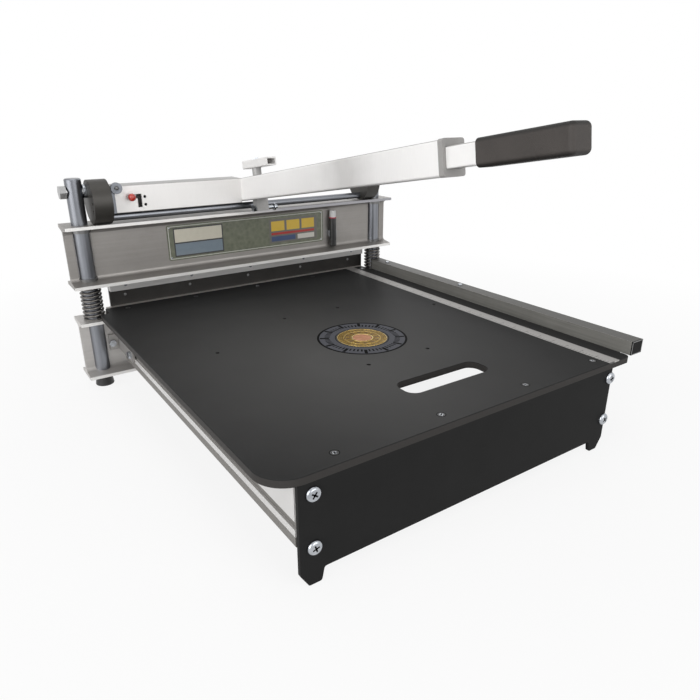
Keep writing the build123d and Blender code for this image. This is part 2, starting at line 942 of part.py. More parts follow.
with BuildPart() as blade:
    with BuildSketch(upright(blade_front)):
        with BuildLine():
            Polyline(
                (blade_x[0], blade_left_z),
                (blade_x[1], blade_right_z),
                (blade_x[1], upper_bottom),
                (blade_x[0], upper_bottom),
                close=True,
            )
        make_face()
    extrude(amount=-blade_thickness)
    back_face = blade.faces().filter_by(Axis.Y).sort_by(Axis.Y)[-1]
    chamfer(back_face.edges().sort_by(Axis.Z)[0], blade_bevel)
    add(blade_bolts.part, mode=Mode.SUBTRACT)
blade.part.label = "blade"
export_step(blade.part, "parts/blade.step")


# Upper beam and the four bushes that run on the posts
bush_outer = post_radius + running_gap + bush_wall
upper_blank = i_beam(upper_bottom, bush_outer)
with BuildPart() as upper_beam:
    add(upper_blank.part)
    add(bar_screws.part, mode=Mode.SUBTRACT)
    with BuildSketch(level(bar_screw_seat)):
        with Locations(*bar_screw_points):
            Circle(bar_screw_head + seat_spare)
    extrude(amount=seat_clear_top - bar_screw_seat, mode=Mode.SUBTRACT)
upper_beam.part.label = "upper_beam"
export_step(upper_beam.part, "parts/upper_beam.step")

with BuildPart() as bushes:
    for floor_z in (upper_bottom, upper_top - bush_height):
        with BuildSketch(level(floor_z)):
            with Locations((-post_x, 0), (post_x, 0)):
                Circle(bush_outer)
                Circle(post_radius + running_gap, mode=Mode.SUBTRACT)
        extrude(amount=bush_height)
bushes.part.label = "bushes"
export_step(bushes.part, "parts/bushes.step")


# Label plate and pen clip on the front of the upper web
with BuildPart() as label_plate:
    with BuildSketch(upright(web_front)):
        with Locations((middle(label_x), middle(label_z))):
            RectangleRounded(span(label_x), span(label_z), label_corner)
    extrude(amount=label_thickness)
label_plate.part.label = "label_plate"
export_step(label_plate.part, "parts/label_plate.step")

clip_arm = pen_radius + clip_gap
clip_back = web_front - clip_wall
with BuildPart() as pen_clip:
    with BuildSketch(level(clip_z[0])):
        with BuildLine():
            Polyline(
                (pen_x - clip_arm - clip_wall, pen_y),
                (pen_x - clip_arm - clip_wall, web_front),
                (pen_x + clip_arm + clip_wall, web_front),
                (pen_x + clip_arm + clip_wall, pen_y),
                (pen_x + clip_arm, pen_y),
                (pen_x + clip_arm, clip_back),
                (pen_x - clip_arm, clip_back),
                (pen_x - clip_arm, pen_y),
                close=True,
            )
        make_face()
    extrude(amount=span(clip_z))
pen_clip.part.label = "pen_clip"
export_step(pen_clip.part, "parts/pen_clip.step")


# Pen: body and cap
with BuildPart() as pen_body:
    with BuildSketch(level(pen_foot_z)):
        with Locations((pen_x, pen_y)):
            Circle(pen_radius)
    extrude(amount=pen_cap_z - pen_foot_z)
    fillet(pen_body.faces().sort_by(Axis.Z)[0].edges(), pen_foot_round)
pen_body.part.label = "pen_body"
export_step(pen_body.part, "parts/pen_body.step")

with BuildPart() as pen_cap:
    with BuildSketch(level(pen_cap_z)):
        with Locations((pen_x, pen_y)):
            Circle(pen_cap_radius)
    extrude(amount=pen_top_z - pen_cap_z)
    fillet(pen_cap.faces().sort_by(Axis.Z)[-1].edges(), pen_cap_round)
pen_cap.part.label = "pen_cap"
export_step(pen_cap.part, "parts/pen_cap.step")


# Axle bolts, washers and nuts: one set for both posts
with BuildPart() as axle_bolts:
    for side, sign in sides:
        head_plane = Plane(
            origin=(sign * (post_x + post_radius), beam_depth, axle_z),
            x_dir=(0, 1, 0),
            z_dir=(sign, 0, 0),
        )
        with BuildSketch(head_plane):
            RegularPolygon(axle_head_width / 2, 6, major_radius=False)
        extrude(amount=axle_head_height)
        with BuildSketch(head_plane):
            Circle(axle_radius)
        extrude(amount=-(post_x + post_radius - axle_end_x))
axle_bolts.part.label = "axle_bolts"
export_step(axle_bolts.part, "parts/axle_bolts.step")

washer_x = (cam_x[1] + rest_gap, post_x - post_radius)
nut_x = (cam_x[0] + nut_recess_depth - rest_gap - nut_height, cam_x[0] + nut_recess_depth - rest_gap)
with BuildPart() as axle_washers:
    for side, sign in sides:
        with BuildSketch(sideways(sign * washer_x[0])):
            with Locations((0, axle_z)):
                Circle(washer_radius)
                Circle(axle_radius, mode=Mode.SUBTRACT)
        extrude(amount=sign * span(washer_x))
axle_washers.part.label = "axle_washers"
export_step(axle_washers.part, "parts/axle_washers.step")

with BuildPart() as axle_nuts:
    for side, sign in sides:
        with BuildSketch(sideways(sign * nut_x[0])):
            with Locations((0, axle_z)):
                RegularPolygon(axle_head_width / 2, 6, major_radius=False)
                Circle(axle_radius, mode=Mode.SUBTRACT)
        extrude(amount=sign * span(nut_x))
axle_nuts.part.label = "axle_nuts"
export_step(axle_nuts.part, "parts/axle_nuts.step")


# Cams: each lets the blade beam rise evenly as the lever turns
def cam_edge(degrees):
    """Point of the working edge that is lowest once the lever has turned by degrees."""
    turn = math.radians(degrees)
    reach = cam_reach - cam_lift * turn
    y = reach * math.sin(turn) - cam_lift * math.cos(turn)
    z = -reach * math.cos(turn) - cam_lift * math.sin(turn)
    return (y, axle_z + z)


def beyond_edge(degrees, distance, outward):
    """Point that lies a distance along the edge's tangent and outward from it."""
    turn = math.radians(degrees)
    y, z = cam_edge(degrees)
    return (
        y + distance * math.cos(turn) + outward * math.sin(turn),
        z + distance * math.sin(turn) - outward * math.cos(turn),
    )


edge_turns = [
    -cam_lead_in + i * (lever_travel + cam_lead_in) / (cam_points - 1) for i in range(cam_points)
]
cam_middle = (cam_centre[0], axle_z + cam_centre[1])
for side, sign in sides:
    with BuildPart() as cam:
        with BuildSketch(sideways(sign * cam_x[0])):
            with Locations(cam_middle):
                Circle(cam_radius)
            with BuildLine():
                Spline(*[cam_edge(turn) for turn in edge_turns])
                Polyline(
                    cam_edge(lever_travel),
                    beyond_edge(lever_travel, cam_spare, 0),
                    beyond_edge(lever_travel, cam_spare, cam_spare),
                    beyond_edge(lever_travel / 2, 0, cam_spare),
                    beyond_edge(-cam_lead_in, -cam_spare, cam_spare),
                    beyond_edge(-cam_lead_in, -cam_spare, 0),
                    cam_edge(-cam_lead_in),
                )
            make_face(mode=Mode.SUBTRACT)
            with Locations((0, axle_z)):
                Circle(axle_radius + running_gap, mode=Mode.SUBTRACT)
        extrude(amount=sign * span(cam_x))
        with BuildSketch(sideways(sign * cam_x[0])):
            with Locations((0, axle_z)):
                Circle(nut_recess_radius)
        extrude(amount=sign * nut_recess_depth, mode=Mode.SUBTRACT)
        with BuildSketch(sideways(sign * cam_x[1])):
            for angle in cam_hole_angles:
                reach_y = cam_hole_ring * math.cos(math.radians(angle))
                reach_z = cam_hole_ring * math.sin(math.radians(angle))
                with Locations((cam_middle[0] + reach_y, cam_middle[1] + reach_z)):
                    Circle(cam_hole_radius)
        extrude(amount=-sign * cam_hole_depth, mode=Mode.SUBTRACT)
    cam.part.label = f"cam_{side}"
    export_step(cam.part, f"parts/cam_{side}.step")

with BuildPart() as cross_rod:
    with BuildSketch(sideways(-cam_x[0])):
        with Locations((rod_y, rod_z)):
            Circle(rod_radius)
    extrude(amount=2 * cam_x[0])
cross_rod.part.label = "cross_rod"
export_step(cross_rod.part, "parts/cross_rod.step")


# Cross tube, its end plate, the latch guide inside it and the pivot boss
latch_bore = latch_bolt_radius + running_gap
with BuildPart() as cross_tube:
    with BuildSketch(sideways(tube_x[0])):
        with Locations((middle(tube_y), middle(tube_z))):
            Rectangle(span(tube_y), span(tube_z))
            Rectangle(span(tube_y) - 2 * tube_wall, span(tube_z) - 2 * tube_wall, mode=Mode.SUBTRACT)
    extrude(amount=span(tube_x))
    with BuildSketch(upright(tube_y[0])):
        slot_top = latch_z + slot_width / 2
        with Locations((middle(latch_slot_x), latch_z)):
            Rectangle(span(latch_slot_x), slot_width)
        with Locations((latch_slot_x[1] - slot_width / 2, (latch_slot_bottom + slot_top) / 2)):
            Rectangle(slot_width, slot_top - latch_slot_bottom)
        with Locations(*[(tube_hole_x, z) for z in tube_hole_z]):
            Circle(tube_hole_radius)
    extrude(amount=-tube_wall, mode=Mode.SUBTRACT)
cross_tube.part.label = "cross_tube"
export_step(cross_tube.part, "parts/cross_tube.step")

with BuildPart() as end_plate:
    with BuildSketch(sideways(end_plate_x[0])):
        with Locations((middle(tube_y), (tube_z[0] + end_plate_top) / 2)):
            Rectangle(span(tube_y), end_plate_top - tube_z[0])
        with Locations((latch_bolt_y, latch_z)):
            Circle(latch_bore, mode=Mode.SUBTRACT)
    extrude(amount=span(end_plate_x))
end_plate.part.label = "end_plate"
export_step(end_plate.part, "parts/end_plate.step")

with BuildPart() as latch_guide:
    with BuildSketch(sideways(tube_x[0])):
        with Locations((middle(tube_y), middle(tube_z))):
            Rectangle(span(tube_y) - 2 * tube_wall, span(tube_z) - 2 * tube_wall)
        with Locations((latch_bolt_y, latch_z)):
            Circle(latch_bore, mode=Mode.SUBTRACT)
    extrude(amount=latch_guide_end - tube_x[0])
latch_guide.part.label = "latch_guide"
export_step(latch_guide.part, "parts/latch_guide.step")

with BuildPart() as pivot_boss:
    with BuildSketch(upright(tube_y[0])):
        with Locations((boss_x, boss_z)):
            Circle(boss_radius)
    extrude(amount=boss_length)
    with BuildSketch(upright(tube_y[0] - boss_length)):
        with Locations((boss_x, boss_z)):
            Circle(boss_pin_radius)
    extrude(amount=-boss_pin_depth, mode=Mode.SUBTRACT)
pivot_boss.part.label = "pivot_boss"
export_step(pivot_boss.part, "parts/pivot_boss.step")


# Latch: a bolt in the guide, its stem through the slot and a ball knob
with BuildPart() as latch_bolt:
    with BuildSketch(sideways(latch_bolt_x[0])):
        with Locations((latch_bolt_y, latch_z)):
            Circle(latch_bolt_radius)
    extrude(amount=span(latch_bolt_x))
    with BuildSketch(upright(latch_bolt_y)):
        with Locations((latch_x, latch_z)):
            Circle(stem_radius)
    extrude(amount=latch_bolt_y - ball_y)
    with Locations((latch_x, beam_depth + ball_y, latch_z)):
        Sphere(ball_radius, mode=Mode.SUBTRACT)
latch_bolt.part.label = "latch_bolt"
export_step(latch_bolt.part, "parts/latch_bolt.step")

with BuildPart() as latch_ball:
    with Locations((latch_x, beam_depth + ball_y, latch_z)):
        Sphere(ball_radius)
latch_ball.part.label = "latch_ball"
export_step(latch_ball.part, "parts/latch_ball.step")


# Clamp knob: screw and stem, hollow bar, cap bolt
knob_seat = handle_height / 2 + rest_gap
with BuildPart() as knob_stem:
    with BuildSketch(knob_plane(knob_seat)):
        Circle(knob_stem_radius)
    extrude(amount=knob_stem_height)
    with BuildSketch(knob_plane(knob_screw_tip)):
        Circle(knob_screw_radius)
    extrude(amount=knob_seat - knob_screw_tip)
knob_stem.part.label = "knob_stem"
export_step(knob_stem.part, "parts/knob_stem.step")

bar_rise = knob_seat + knob_stem_height + knob_bar_height / 2
bar_turned = knob_plane(bar_rise).location * Location((0, 0, 0), (0, 0, knob_bar_turn))
bar_mouth = bar_turned * Location((knob_bar_shift - knob_bar_length / 2, 0, 0), (0, 90, 0))
with BuildPart() as knob_bar:
    with BuildSketch(Plane(bar_mouth)):
        RectangleRounded(knob_bar_height, knob_bar_width, knob_bar_round)
        Rectangle(
            knob_bar_height - 2 * knob_bar_wall,
            knob_bar_width - 2 * knob_bar_wall,
            mode=Mode.SUBTRACT,
        )
    extrude(amount=knob_bar_length)
knob_bar.part.label = "knob_bar"
export_step(knob_bar.part, "parts/knob_bar.step")

with BuildPart() as knob_cap:
    with BuildSketch(knob_plane(bar_rise + knob_bar_height / 2)):
        RegularPolygon(knob_cap_width / 2, 6, major_radius=False)
    extrude(amount=knob_cap_height)
knob_cap.part.label = "knob_cap"
export_step(knob_cap.part, "parts/knob_cap.step")


# Lock block under the handle and its cross bolt
with BuildPart() as clamp_bore:
    with BuildSketch(knob_plane(knob_screw_tip - rest_gap)):
        Circle(knob_screw_radius + running_gap)
    extrude(amount=handle_height)

with BuildPart() as lock_bolt:
    with BuildSketch(handle_side(lock_bolt_x[0])):
        with Locations((0, lock_bolt_rise)):
            RegularPolygon(lock_head_width / 2, 6, major_radius=False)
    extrude(amount=-lock_head_height)
    with BuildSketch(handle_side(lock_bolt_x[0])):
        with Locations((0, lock_bolt_rise)):
            Circle(lock_bolt_radius)
    extrude(amount=-span(lock_bolt_x))
lock_bolt.part.label = "lock_bolt"
export_step(lock_bolt.part, "parts/lock_bolt.step")

with BuildPart() as lock_block:
    with BuildSketch(knob_plane(lock_bottom)):
        Rectangle(lock_width, lock_depth)
    extrude(amount=-handle_height / 2 - lock_bottom)
    add(clamp_bore.part, mode=Mode.SUBTRACT)
    add(lock_bolt.part, mode=Mode.SUBTRACT)
lock_block.part.label = "lock_block"
export_step(lock_block.part, "parts/lock_block.step")


# Handle tube and the collar at its mouth
with BuildPart() as screw_way:
    with BuildSketch(knob_plane(-handle_height)):
        Circle(knob_screw_radius + running_gap)
    extrude(amount=2 * handle_height)

with BuildPart() as handle_tube:
    with BuildSketch(handle_plane.offset(handle_s[0])):
        RectangleRounded(handle_width, handle_height, handle_corner)
        Rectangle(
            handle_width - 2 * handle_wall,
            handle_height - 2 * handle_wall,
            mode=Mode.SUBTRACT,
        )
    extrude(amount=span(handle_s))
    add(screw_way.part, mode=Mode.SUBTRACT)
handle_tube.part.label = "handle_tube"
export_step(handle_tube.part, "parts/handle_tube.step")

with BuildPart() as handle_plug:
    with BuildSketch(handle_plane.offset(handle_s[0])):
        RectangleRounded(handle_width, handle_height, handle_corner)
    extrude(amount=-plug_cap)
    with BuildSketch(handle_plane.offset(handle_s[0])):
        Rectangle(handle_width - 2 * handle_wall, handle_height - 2 * handle_wall)
    extrude(amount=plug_depth)
handle_plug.part.label = "handle_plug"
export_step(handle_plug.part, "parts/handle_plug.step")

with BuildPart() as collar:
    with BuildSketch(handle_plane.offset(collar_s[0])):
        RectangleRounded(collar_width, collar_height, collar_corner)
        RectangleRounded(handle_width, handle_height, handle_corner, mode=Mode.SUBTRACT)
    extrude(amount=handle_s[1] - collar_s[0])
    with BuildSketch(handle_plane.offset(handle_s[1])):
        RectangleRounded(collar_width, collar_height, collar_corner)
        Rectangle(arm_size + 2 * slide_gap, arm_size + 2 * slide_gap, mode=Mode.SUBTRACT)
    extrude(amount=collar_s[1] - handle_s[1])
collar.part.label = "collar"
export_step(collar.part, "parts/collar.step")


# Sliding arm, its shoe inside the handle and the grip
with BuildPart() as arm_tube:
    with BuildSketch(handle_plane.offset(arm_s[0])):
        RectangleRounded(arm_size, arm_size, arm_corner)
        Rectangle(arm_size - 2 * arm_wall, arm_size - 2 * arm_wall, mode=Mode.SUBTRACT)
    extrude(amount=span(arm_s))
arm_tube.part.label = "arm_tube"
export_step(arm_tube.part, "parts/arm_tube.step")

shoe_gap = 2 * (handle_wall + slide_gap)
with BuildPart() as arm_shoe:
    with BuildSketch(handle_plane.offset(shoe_s[0])):
        Rectangle(handle_width - shoe_gap, handle_height - shoe_gap)
    extrude(amount=span(shoe_s))
    with BuildSketch(handle_plane.offset(arm_s[0])):
        RectangleRounded(arm_size, arm_size, arm_corner)
    extrude(amount=shoe_s[1] - arm_s[0], mode=Mode.SUBTRACT)
arm_shoe.part.label = "arm_shoe"
export_step(arm_shoe.part, "parts/arm_shoe.step")

with BuildPart() as grip:
    with BuildSketch(handle_plane.offset(grip_s[0])):
        RectangleRounded(grip_size, grip_size, grip_corner)
    extrude(amount=span(grip_s))
    far_end = grip.faces().sort_by(Axis.Y)[0]
    fillet(far_end.edges(), grip_end_round)
    with BuildSketch(handle_plane.offset(grip_s[0])):
        RectangleRounded(arm_size, arm_size, arm_corner)
    extrude(amount=arm_s[1] - grip_s[0], mode=Mode.SUBTRACT)
grip.part.label = "grip"
export_step(grip.part, "parts/grip.step")
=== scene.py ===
import logging
import math
from dataclasses import dataclass, field
from enum import Enum
from typing import Any

import bmesh
import bpy
from mathutils import Matrix, Vector


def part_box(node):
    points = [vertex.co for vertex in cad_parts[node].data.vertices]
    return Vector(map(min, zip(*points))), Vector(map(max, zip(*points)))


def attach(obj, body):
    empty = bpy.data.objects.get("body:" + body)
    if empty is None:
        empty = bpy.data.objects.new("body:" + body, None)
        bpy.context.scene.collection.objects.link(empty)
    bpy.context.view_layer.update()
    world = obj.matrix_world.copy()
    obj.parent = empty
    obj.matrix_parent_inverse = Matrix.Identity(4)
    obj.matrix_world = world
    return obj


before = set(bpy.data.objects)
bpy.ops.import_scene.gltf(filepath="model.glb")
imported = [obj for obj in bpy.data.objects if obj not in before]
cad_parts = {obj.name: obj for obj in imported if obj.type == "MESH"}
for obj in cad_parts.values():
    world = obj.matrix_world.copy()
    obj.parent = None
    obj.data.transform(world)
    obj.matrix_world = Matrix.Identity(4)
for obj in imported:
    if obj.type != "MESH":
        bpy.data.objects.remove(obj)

log = logging.getLogger("laminate_cutter")
MM = 0.001
BEAM_LOW, BEAM_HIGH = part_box("lower_beam")
AXIS_Y = (BEAM_LOW.y + BEAM_HIGH.y) / 2
TABLE_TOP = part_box("table_plate")[1].z
# Depth of the fine lines that brushing leaves.
BRUSH_DEPTH = 0.02 * MM
# Metres, further off than any point of the cutter.
NOWHERE = 9.0


class Axis(Enum):
    """Direction in which a surface was drawn, ground or brushed."""

    ALONG_X = (0.012, 1.0, 1.0)
    ALONG_Y = (1.0, 0.012, 1.0)
    ALONG_Z = (1.0, 1.0, 0.012)
    NONE = (1.0, 1.0, 1.0)


class Wire:
    """A node socket that takes part in Python arithmetic."""

    def __init__(self, bench: "Bench", socket: bpy.types.NodeSocket) -> None:
        """Keep the socket and the bench that owns it."""
        self.bench = bench
        self.socket = socket

    def _math(self, operation: str, first: Any, second: Any) -> "Wire":
        """Add one Math node on two wires or numbers."""
        return self.bench.wire("ShaderNodeMath", {"operation": operation}, {0: first, 1: second})

    def __add__(self, other: Any) -> "Wire":
        """Sum."""
        return self._math("ADD", self, other)

    __radd__ = __add__

    def __sub__(self, other: Any) -> "Wire":
        """Difference."""
        return self._math("SUBTRACT", self, other)

    def __rsub__(self, other: Any) -> "Wire":
        """Difference with the wire second."""
        return self._math("SUBTRACT", other, self)

    def __mul__(self, other: Any) -> "Wire":
        """Product."""
        return self._math("MULTIPLY", self, other)

    __rmul__ = __mul__

    def __truediv__(self, other: Any) -> "Wire":
        """Quotient."""
        return self._math("DIVIDE", self, other)

    def __mod__(self, other: Any) -> "Wire":
        """Floored remainder."""
        return self._math("FLOORED_MODULO", self, other)

    def __lt__(self, other: Any) -> "Wire":
        """One where the wire is less."""
        return self._math("LESS_THAN", self, other)

    def __gt__(self, other: Any) -> "Wire":
        """One where the wire is greater."""
        return self._math("GREATER_THAN", self, other)

    def size(self) -> "Wire":
        """Absolute value."""
        return self._math("ABSOLUTE", self, 0.0)

    def root(self) -> "Wire":
        """Square root."""
        return self._math("SQRT", self, 0.0)

    def sine(self) -> "Wire":
        """Sine of an angle in radians."""
        return self._math("SINE", self, 0.0)

    def least(self, other: Any) -> "Wire":
        """Smaller of two values."""
        return self._math("MINIMUM", self, other)

    def most(self, other: Any) -> "Wire":
        """Larger of two values."""
        return self._math("MAXIMUM", self, other)

    def angle(self, run: Any) -> "Wire":
        """Angle in radians of a slope whose rise is the wire."""
        return self._math("ARCTAN2", self, run)


class Bench:
    """Node workspace of one material or world."""

    def __init__(self, owner: bpy.types.Material | bpy.types.World) -> None:
        """Empty the owner's tree.

        Args:
            owner: the material or world to be filled.
        """
        owner.use_nodes = True
        self.tree = owner.node_tree
        self.tree.nodes.clear()

    def node(
        self,
        kind: str,
        settings: dict[str, Any] | None = None,
        feeds: dict[Any, Any] | None = None,
    ) -> bpy.types.Node:
        """Add any node.

        Args:
            kind: the node's type.
            settings: properties that are set first; "stops" fills a colour ramp.
            feeds: values or wires by socket name or index.

        Returns:
            The new node.
        """
        made = self.tree.nodes.new(kind)
        for name, value in (settings or {}).items():
            if name == "stops":
                self._fill_ramp(made.color_ramp, value)
            else:
                setattr(made, name, value)
        for key, value in (feeds or {}).items():
            if isinstance(value, Wire):
                self.tree.links.new(value.socket, made.inputs[key])
            else:
                made.inputs[key].default_value = value
        return made

    def wire(
        self,
        kind: str,
        settings: dict[str, Any] | None = None,
        feeds: dict[Any, Any] | None = None,
        output: Any = 0,
    ) -> Wire:
        """Add a node, as the method above does, and take one output by name or index."""
        return Wire(self, self.node(kind, settings, feeds).outputs[output])

    def spot(self) -> Wire:
        """Object coordinates."""
        return self.wire("ShaderNodeTexCoord", output="Object")

    def place(self, stretch: tuple[float, float, float] = (1.0, 1.0, 1.0)) -> Wire:
        """Object coordinates, stretched along each axis."""
        return self.wire("ShaderNodeMapping", None, {"Vector": self.spot(), "Scale": stretch})

    def turned(self, tilt: float) -> Wire:
        """Object coordinates, turned about X by an angle in radians."""
        return self.wire("ShaderNodeMapping", None, {"Vector": self.spot(), "Rotation": (tilt, 0, 0)})

    def axes(self, vector: Wire | None = None) -> tuple[Wire, Wire, Wire]:
        """Split a vector.

        Args:
            vector: the vector, or None for the object coordinates.

        Returns:
            The wires of its X, Y and Z.
        """
        parts = self.node("ShaderNodeSeparateXYZ", None, {"Vector": vector or self.spot()})
        x, y, z = (Wire(self, parts.outputs[name]) for name in "XYZ")
        return x, y, z

    def cells(self, vector: Wire, scale: float) -> Wire:
        """Distance from the middles of small cells."""
        return self.wire("ShaderNodeTexVoronoi", {"feature": "F1"}, {"Vector": vector, "Scale": scale})

    def noise(self, vector: Wire, scale: float, detail: float = 3.0, rough: float = 0.5) -> Wire:
        """Noise of about 0 to 1 on a vector, at a scale in features per metre."""
        feeds = {"Vector": vector, "Scale": scale, "Detail": detail, "Roughness": rough}
        return self.wire("ShaderNodeTexNoise", None, feeds, "Fac")

    def ramp(self, factor: Wire, stops: list[tuple[float, float]]) -> Wire:
        """Grey ramp through pairs of position and grey value."""
        greys = [(spot, (grey, grey, grey, 1.0)) for spot, grey in stops]
        return self.wire("ShaderNodeValToRGB", {"stops": greys}, {"Fac": factor})

    def blend(self, factor: Any, first: Any, second: Any) -> Wire:
        """Mix of two colours: the first at a factor of 0 and the second at 1."""
        feeds = {"Factor": factor, 6: first, 7: second}
        return self.wire("ShaderNodeMix", {"data_type": "RGBA"}, feeds, 2)

    def bump(self, height: Wire, distance: float, strength: float = 1.0) -> Wire:
        """Normal from a height, with the metres that a height of 1 stands for."""
        feeds = {"Height": height, "Distance": distance, "Strength": strength}
        return self.wire("ShaderNodeBump", None, feeds)

    def surface(self, feeds: dict[str, Any]) -> None:
        """End the tree in one principled shader."""
        shader = self.wire("ShaderNodeBsdfPrincipled", None, feeds)
        self.node("ShaderNodeOutputMaterial", None, {"Surface": shader})

    @staticmethod
    def _fill_ramp(ramp: bpy.types.ColorRamp, stops: list[tuple[float, Any]]) -> None:
        """Set a colour ramp's stops.

        Args:
            ramp: the ramp to be filled.
            stops: pairs of position and colour.
        """
        while len(ramp.elements) < len(stops):
            ramp.elements.new(0.5)
        for element, (spot, colour) in zip(ramp.elements, stops):
            element.position = spot
            element.color = colour


Colour = tuple[float, float, float]


def opaque(colour: Colour) -> tuple[float, float, float, float]:
    """Colour with full alpha."""
    return (*colour, 1.0)


@dataclass(frozen=True)
class Finish:
    """What every finish has."""

    name: str
    tone: Colour
    shade: Colour
    roughness: float = 0.4
    metallic: float = 0.0

    def make(self) -> bpy.types.Material:
        """Build the material.

        Returns:
            The new material.
        """
        material = bpy.data.materials.new(self.name)
        self.paint(Bench(material))
        material.diffuse_color = opaque(self.tone)
        return material

    def paint(self, bench: Bench) -> None:
        """Fill the material's tree."""
        raise NotImplementedError

    def mixed(self, bench: Bench, share: Wire) -> Wire:
        """Blend from the shade to the tone."""
        return bench.blend(share, opaque(self.shade), opaque(self.tone))

    def close(
        self, bench: Bench, base: Wire, gloss: Wire, normal: Wire, more: dict[str, float] | None = None
    ) -> None:
        """End the tree in the shader; more holds numbers for its other sockets."""
        feeds = {"Base Color": base, "Roughness": gloss, "Metallic": self.metallic, "Normal": normal}
        bench.surface({**feeds, **(more or {})})


@dataclass(frozen=True)
class BrushedMetal(Finish):
    """Extruded or ground metal with fine lines in one direction."""

    grain: Axis = Axis.ALONG_X
    line_scale: float = 1400.0
    contrast: float = 0.35
    line_depth: float = BRUSH_DEPTH
    smudge_and_shade: float = 0.25
    lines_roughness: float = 0.12
    drift_scale: float = 9.0
    smudge_scale: float = 38.0
    nick_share: float = 0.35
    smudge_tone: float = 0.72

    def paint(self, bench: Bench) -> None:
        """Draw fine lines, broad drifts of tone, faint smudges and a few nicks.

        Args:
            bench: the material's workspace.
        """
        along = bench.place(self.grain.value)
        plain = bench.place()
        lines = bench.noise(along, self.line_scale, 4.0, 0.65)
        drift = bench.noise(plain, self.drift_scale, 2.0)
        smears = bench.noise(plain, self.smudge_scale, 5.0, 0.62)
        smudges = bench.ramp(smears, [(0.42, 0.0), (0.72, 1.0)])
        pits = bench.noise(along, self.line_scale * self.nick_share, 2.0)
        nicks = bench.ramp(pits, [(0.66, 0.0), (0.74, 1.0)])
        base = self.mixed(bench, (lines - 0.5) * self.contrast + (drift - 0.5) * 0.5 + 0.5)
        deep = tuple(c * self.smudge_tone for c in self.shade)
        base = bench.blend(smudges * self.smudge_and_shade * 0.5 + nicks * 0.12, base, opaque(deep))
        gloss = (lines - 0.5) * self.lines_roughness + smudges * self.smudge_and_shade * 0.25 + self.roughness
        self.close(bench, base, gloss, bench.bump(lines, self.line_depth))


@dataclass(frozen=True)
class BeamMetal(Finish):
    """Structural beam: darker web, partly mill finish and partly painted shade; bright flange edges, partly
    ground and partly painted highlight.
    """

    axis_y: float = AXIS_Y
    edge_at: float = 27.6 * MM
    # Above this height the flange edge takes a blue-grey painted reflection towards the right; the bright
    # edge colour is partly painted highlight.
    reflection_above: float = NOWHERE
    bright: Colour = (0.86, 0.85, 0.83)
    painted_reflection: Colour = (0.30, 0.30, 0.33)
    edge_sharpness: float = 1500.0
    line_scale: float = 1300.0
    drift_scale: float = 8.0
    stain_scale: float = 30.0
    streak_scale: float = 220.0
    speck_scale: float = 700.0
    stain_tone: float = 0.6

    def paint(self, bench: Bench) -> None:
        """Draw lines along X, stains on the web, and bright edges that are partly painted highlight, the
        upper right one with a blue-grey painted reflection.

        Args:
            bench: the material's workspace.
        """
        x, y, z = bench.axes()
        out = (y - self.axis_y).size()
        edge = bench.ramp((out - self.edge_at) * self.edge_sharpness, [(0.0, 0.0), (1.0, 1.0)])
        lines = bench.noise(bench.place(Axis.ALONG_X.value), self.line_scale, 4.0, 0.65)
        plain = bench.place()
        drift = bench.noise(plain, self.drift_scale, 3.0, 0.55)
        spots = bench.noise(plain, self.stain_scale, 6.0, 0.65)
        stain = bench.ramp(spots, [(0.45, 0.0), (0.75, 1.0)])
        streaks = bench.noise(bench.place((0.02, 1.0, 1.0)), self.streak_scale, 3.0, 0.6)
        speck = bench.noise(plain, self.speck_scale, 4.0, 0.7)
        mix = (lines - 0.5) * 0.3 + (drift - 0.5) * 0.9 + (streaks - 0.5) * 0.4 + speck * 0.5 + 0.25
        deep = tuple(c * self.stain_tone for c in self.shade)
        web = bench.blend(stain * 0.12, self.mixed(bench, mix), opaque(deep))
        # Painted reflection: towards the right, the upper flange's edge turns blue-grey.
        right = bench.ramp(x * 4.0 + 0.5, [(0.35, 0.0), (0.75, 0.9)])
        rim = bench.blend(right * (z > self.reflection_above), opaque(self.bright), opaque(self.painted_reflection))
        # The web's darker tone is partly painted shade, and the edges' brightness is partly painted
        # highlight.
        base = bench.blend(edge * 0.85, web, rim)
        gloss = (lines - 0.5) * 0.1 + stain * 0.08 + self.roughness
        self.close(bench, base, gloss, bench.bump(lines, BRUSH_DEPTH))


@dataclass(frozen=True)
class TubeMetal(Finish):
    """Sloping square tube: pale brushed sides, with grey rims above and below and a grey patch along it, both
    painted shade.
    """

    tilt: float = 0.0
    rise: float = 0.0
    half: float = 20.0 * MM
    shade_centre: float = -0.07
    # Grey of the painted shade on the rims above and below.
    edge: Colour = (0.30, 0.295, 0.285)
    rim_sharpness: float = 1000.0
    stroke_scale: float = 1400.0
    cloud_scale: float = 7.0

    def paint(self, bench: Bench) -> None:
        """Draw brush strokes across the tube, a soft grey patch of painted shade and grey rims of painted
        shade.

        Args:
            bench: the material's workspace.
        """
        own = bench.turned(self.tilt)
        _, along, up = bench.axes(own)
        inset = self.half - (up - self.rise).size()
        # Painted shade: the rims above and below the tube are drawn grey.
        rim = bench.ramp(inset * self.rim_sharpness, [(0.35, 1.0), (1.0, 0.0)])
        strokes = bench.noise(bench.place((0.6, 1.0, 0.05)), self.stroke_scale, 4.0, 0.7)
        cloud = bench.noise(own, self.cloud_scale, 4.0, 0.6)
        # Painted shade: a soft grey patch round one place along the tube.
        away = (along - self.shade_centre).size() + (cloud - 0.5) * 0.12
        smudge_and_shade = bench.ramp(away * 5.0, [(0.0, 1.0), (0.35, 0.25), (0.8, 0.0)])
        base = self.mixed(bench, (strokes - 0.5) * 0.3 - smudge_and_shade * 0.8 + 0.95)
        base = bench.blend(rim * 0.9, base, opaque(self.edge))
        gloss = (strokes - 0.5) * 0.1 + smudge_and_shade * 0.06 + self.roughness
        self.close(bench, base, gloss, bench.bump(strokes, BRUSH_DEPTH))


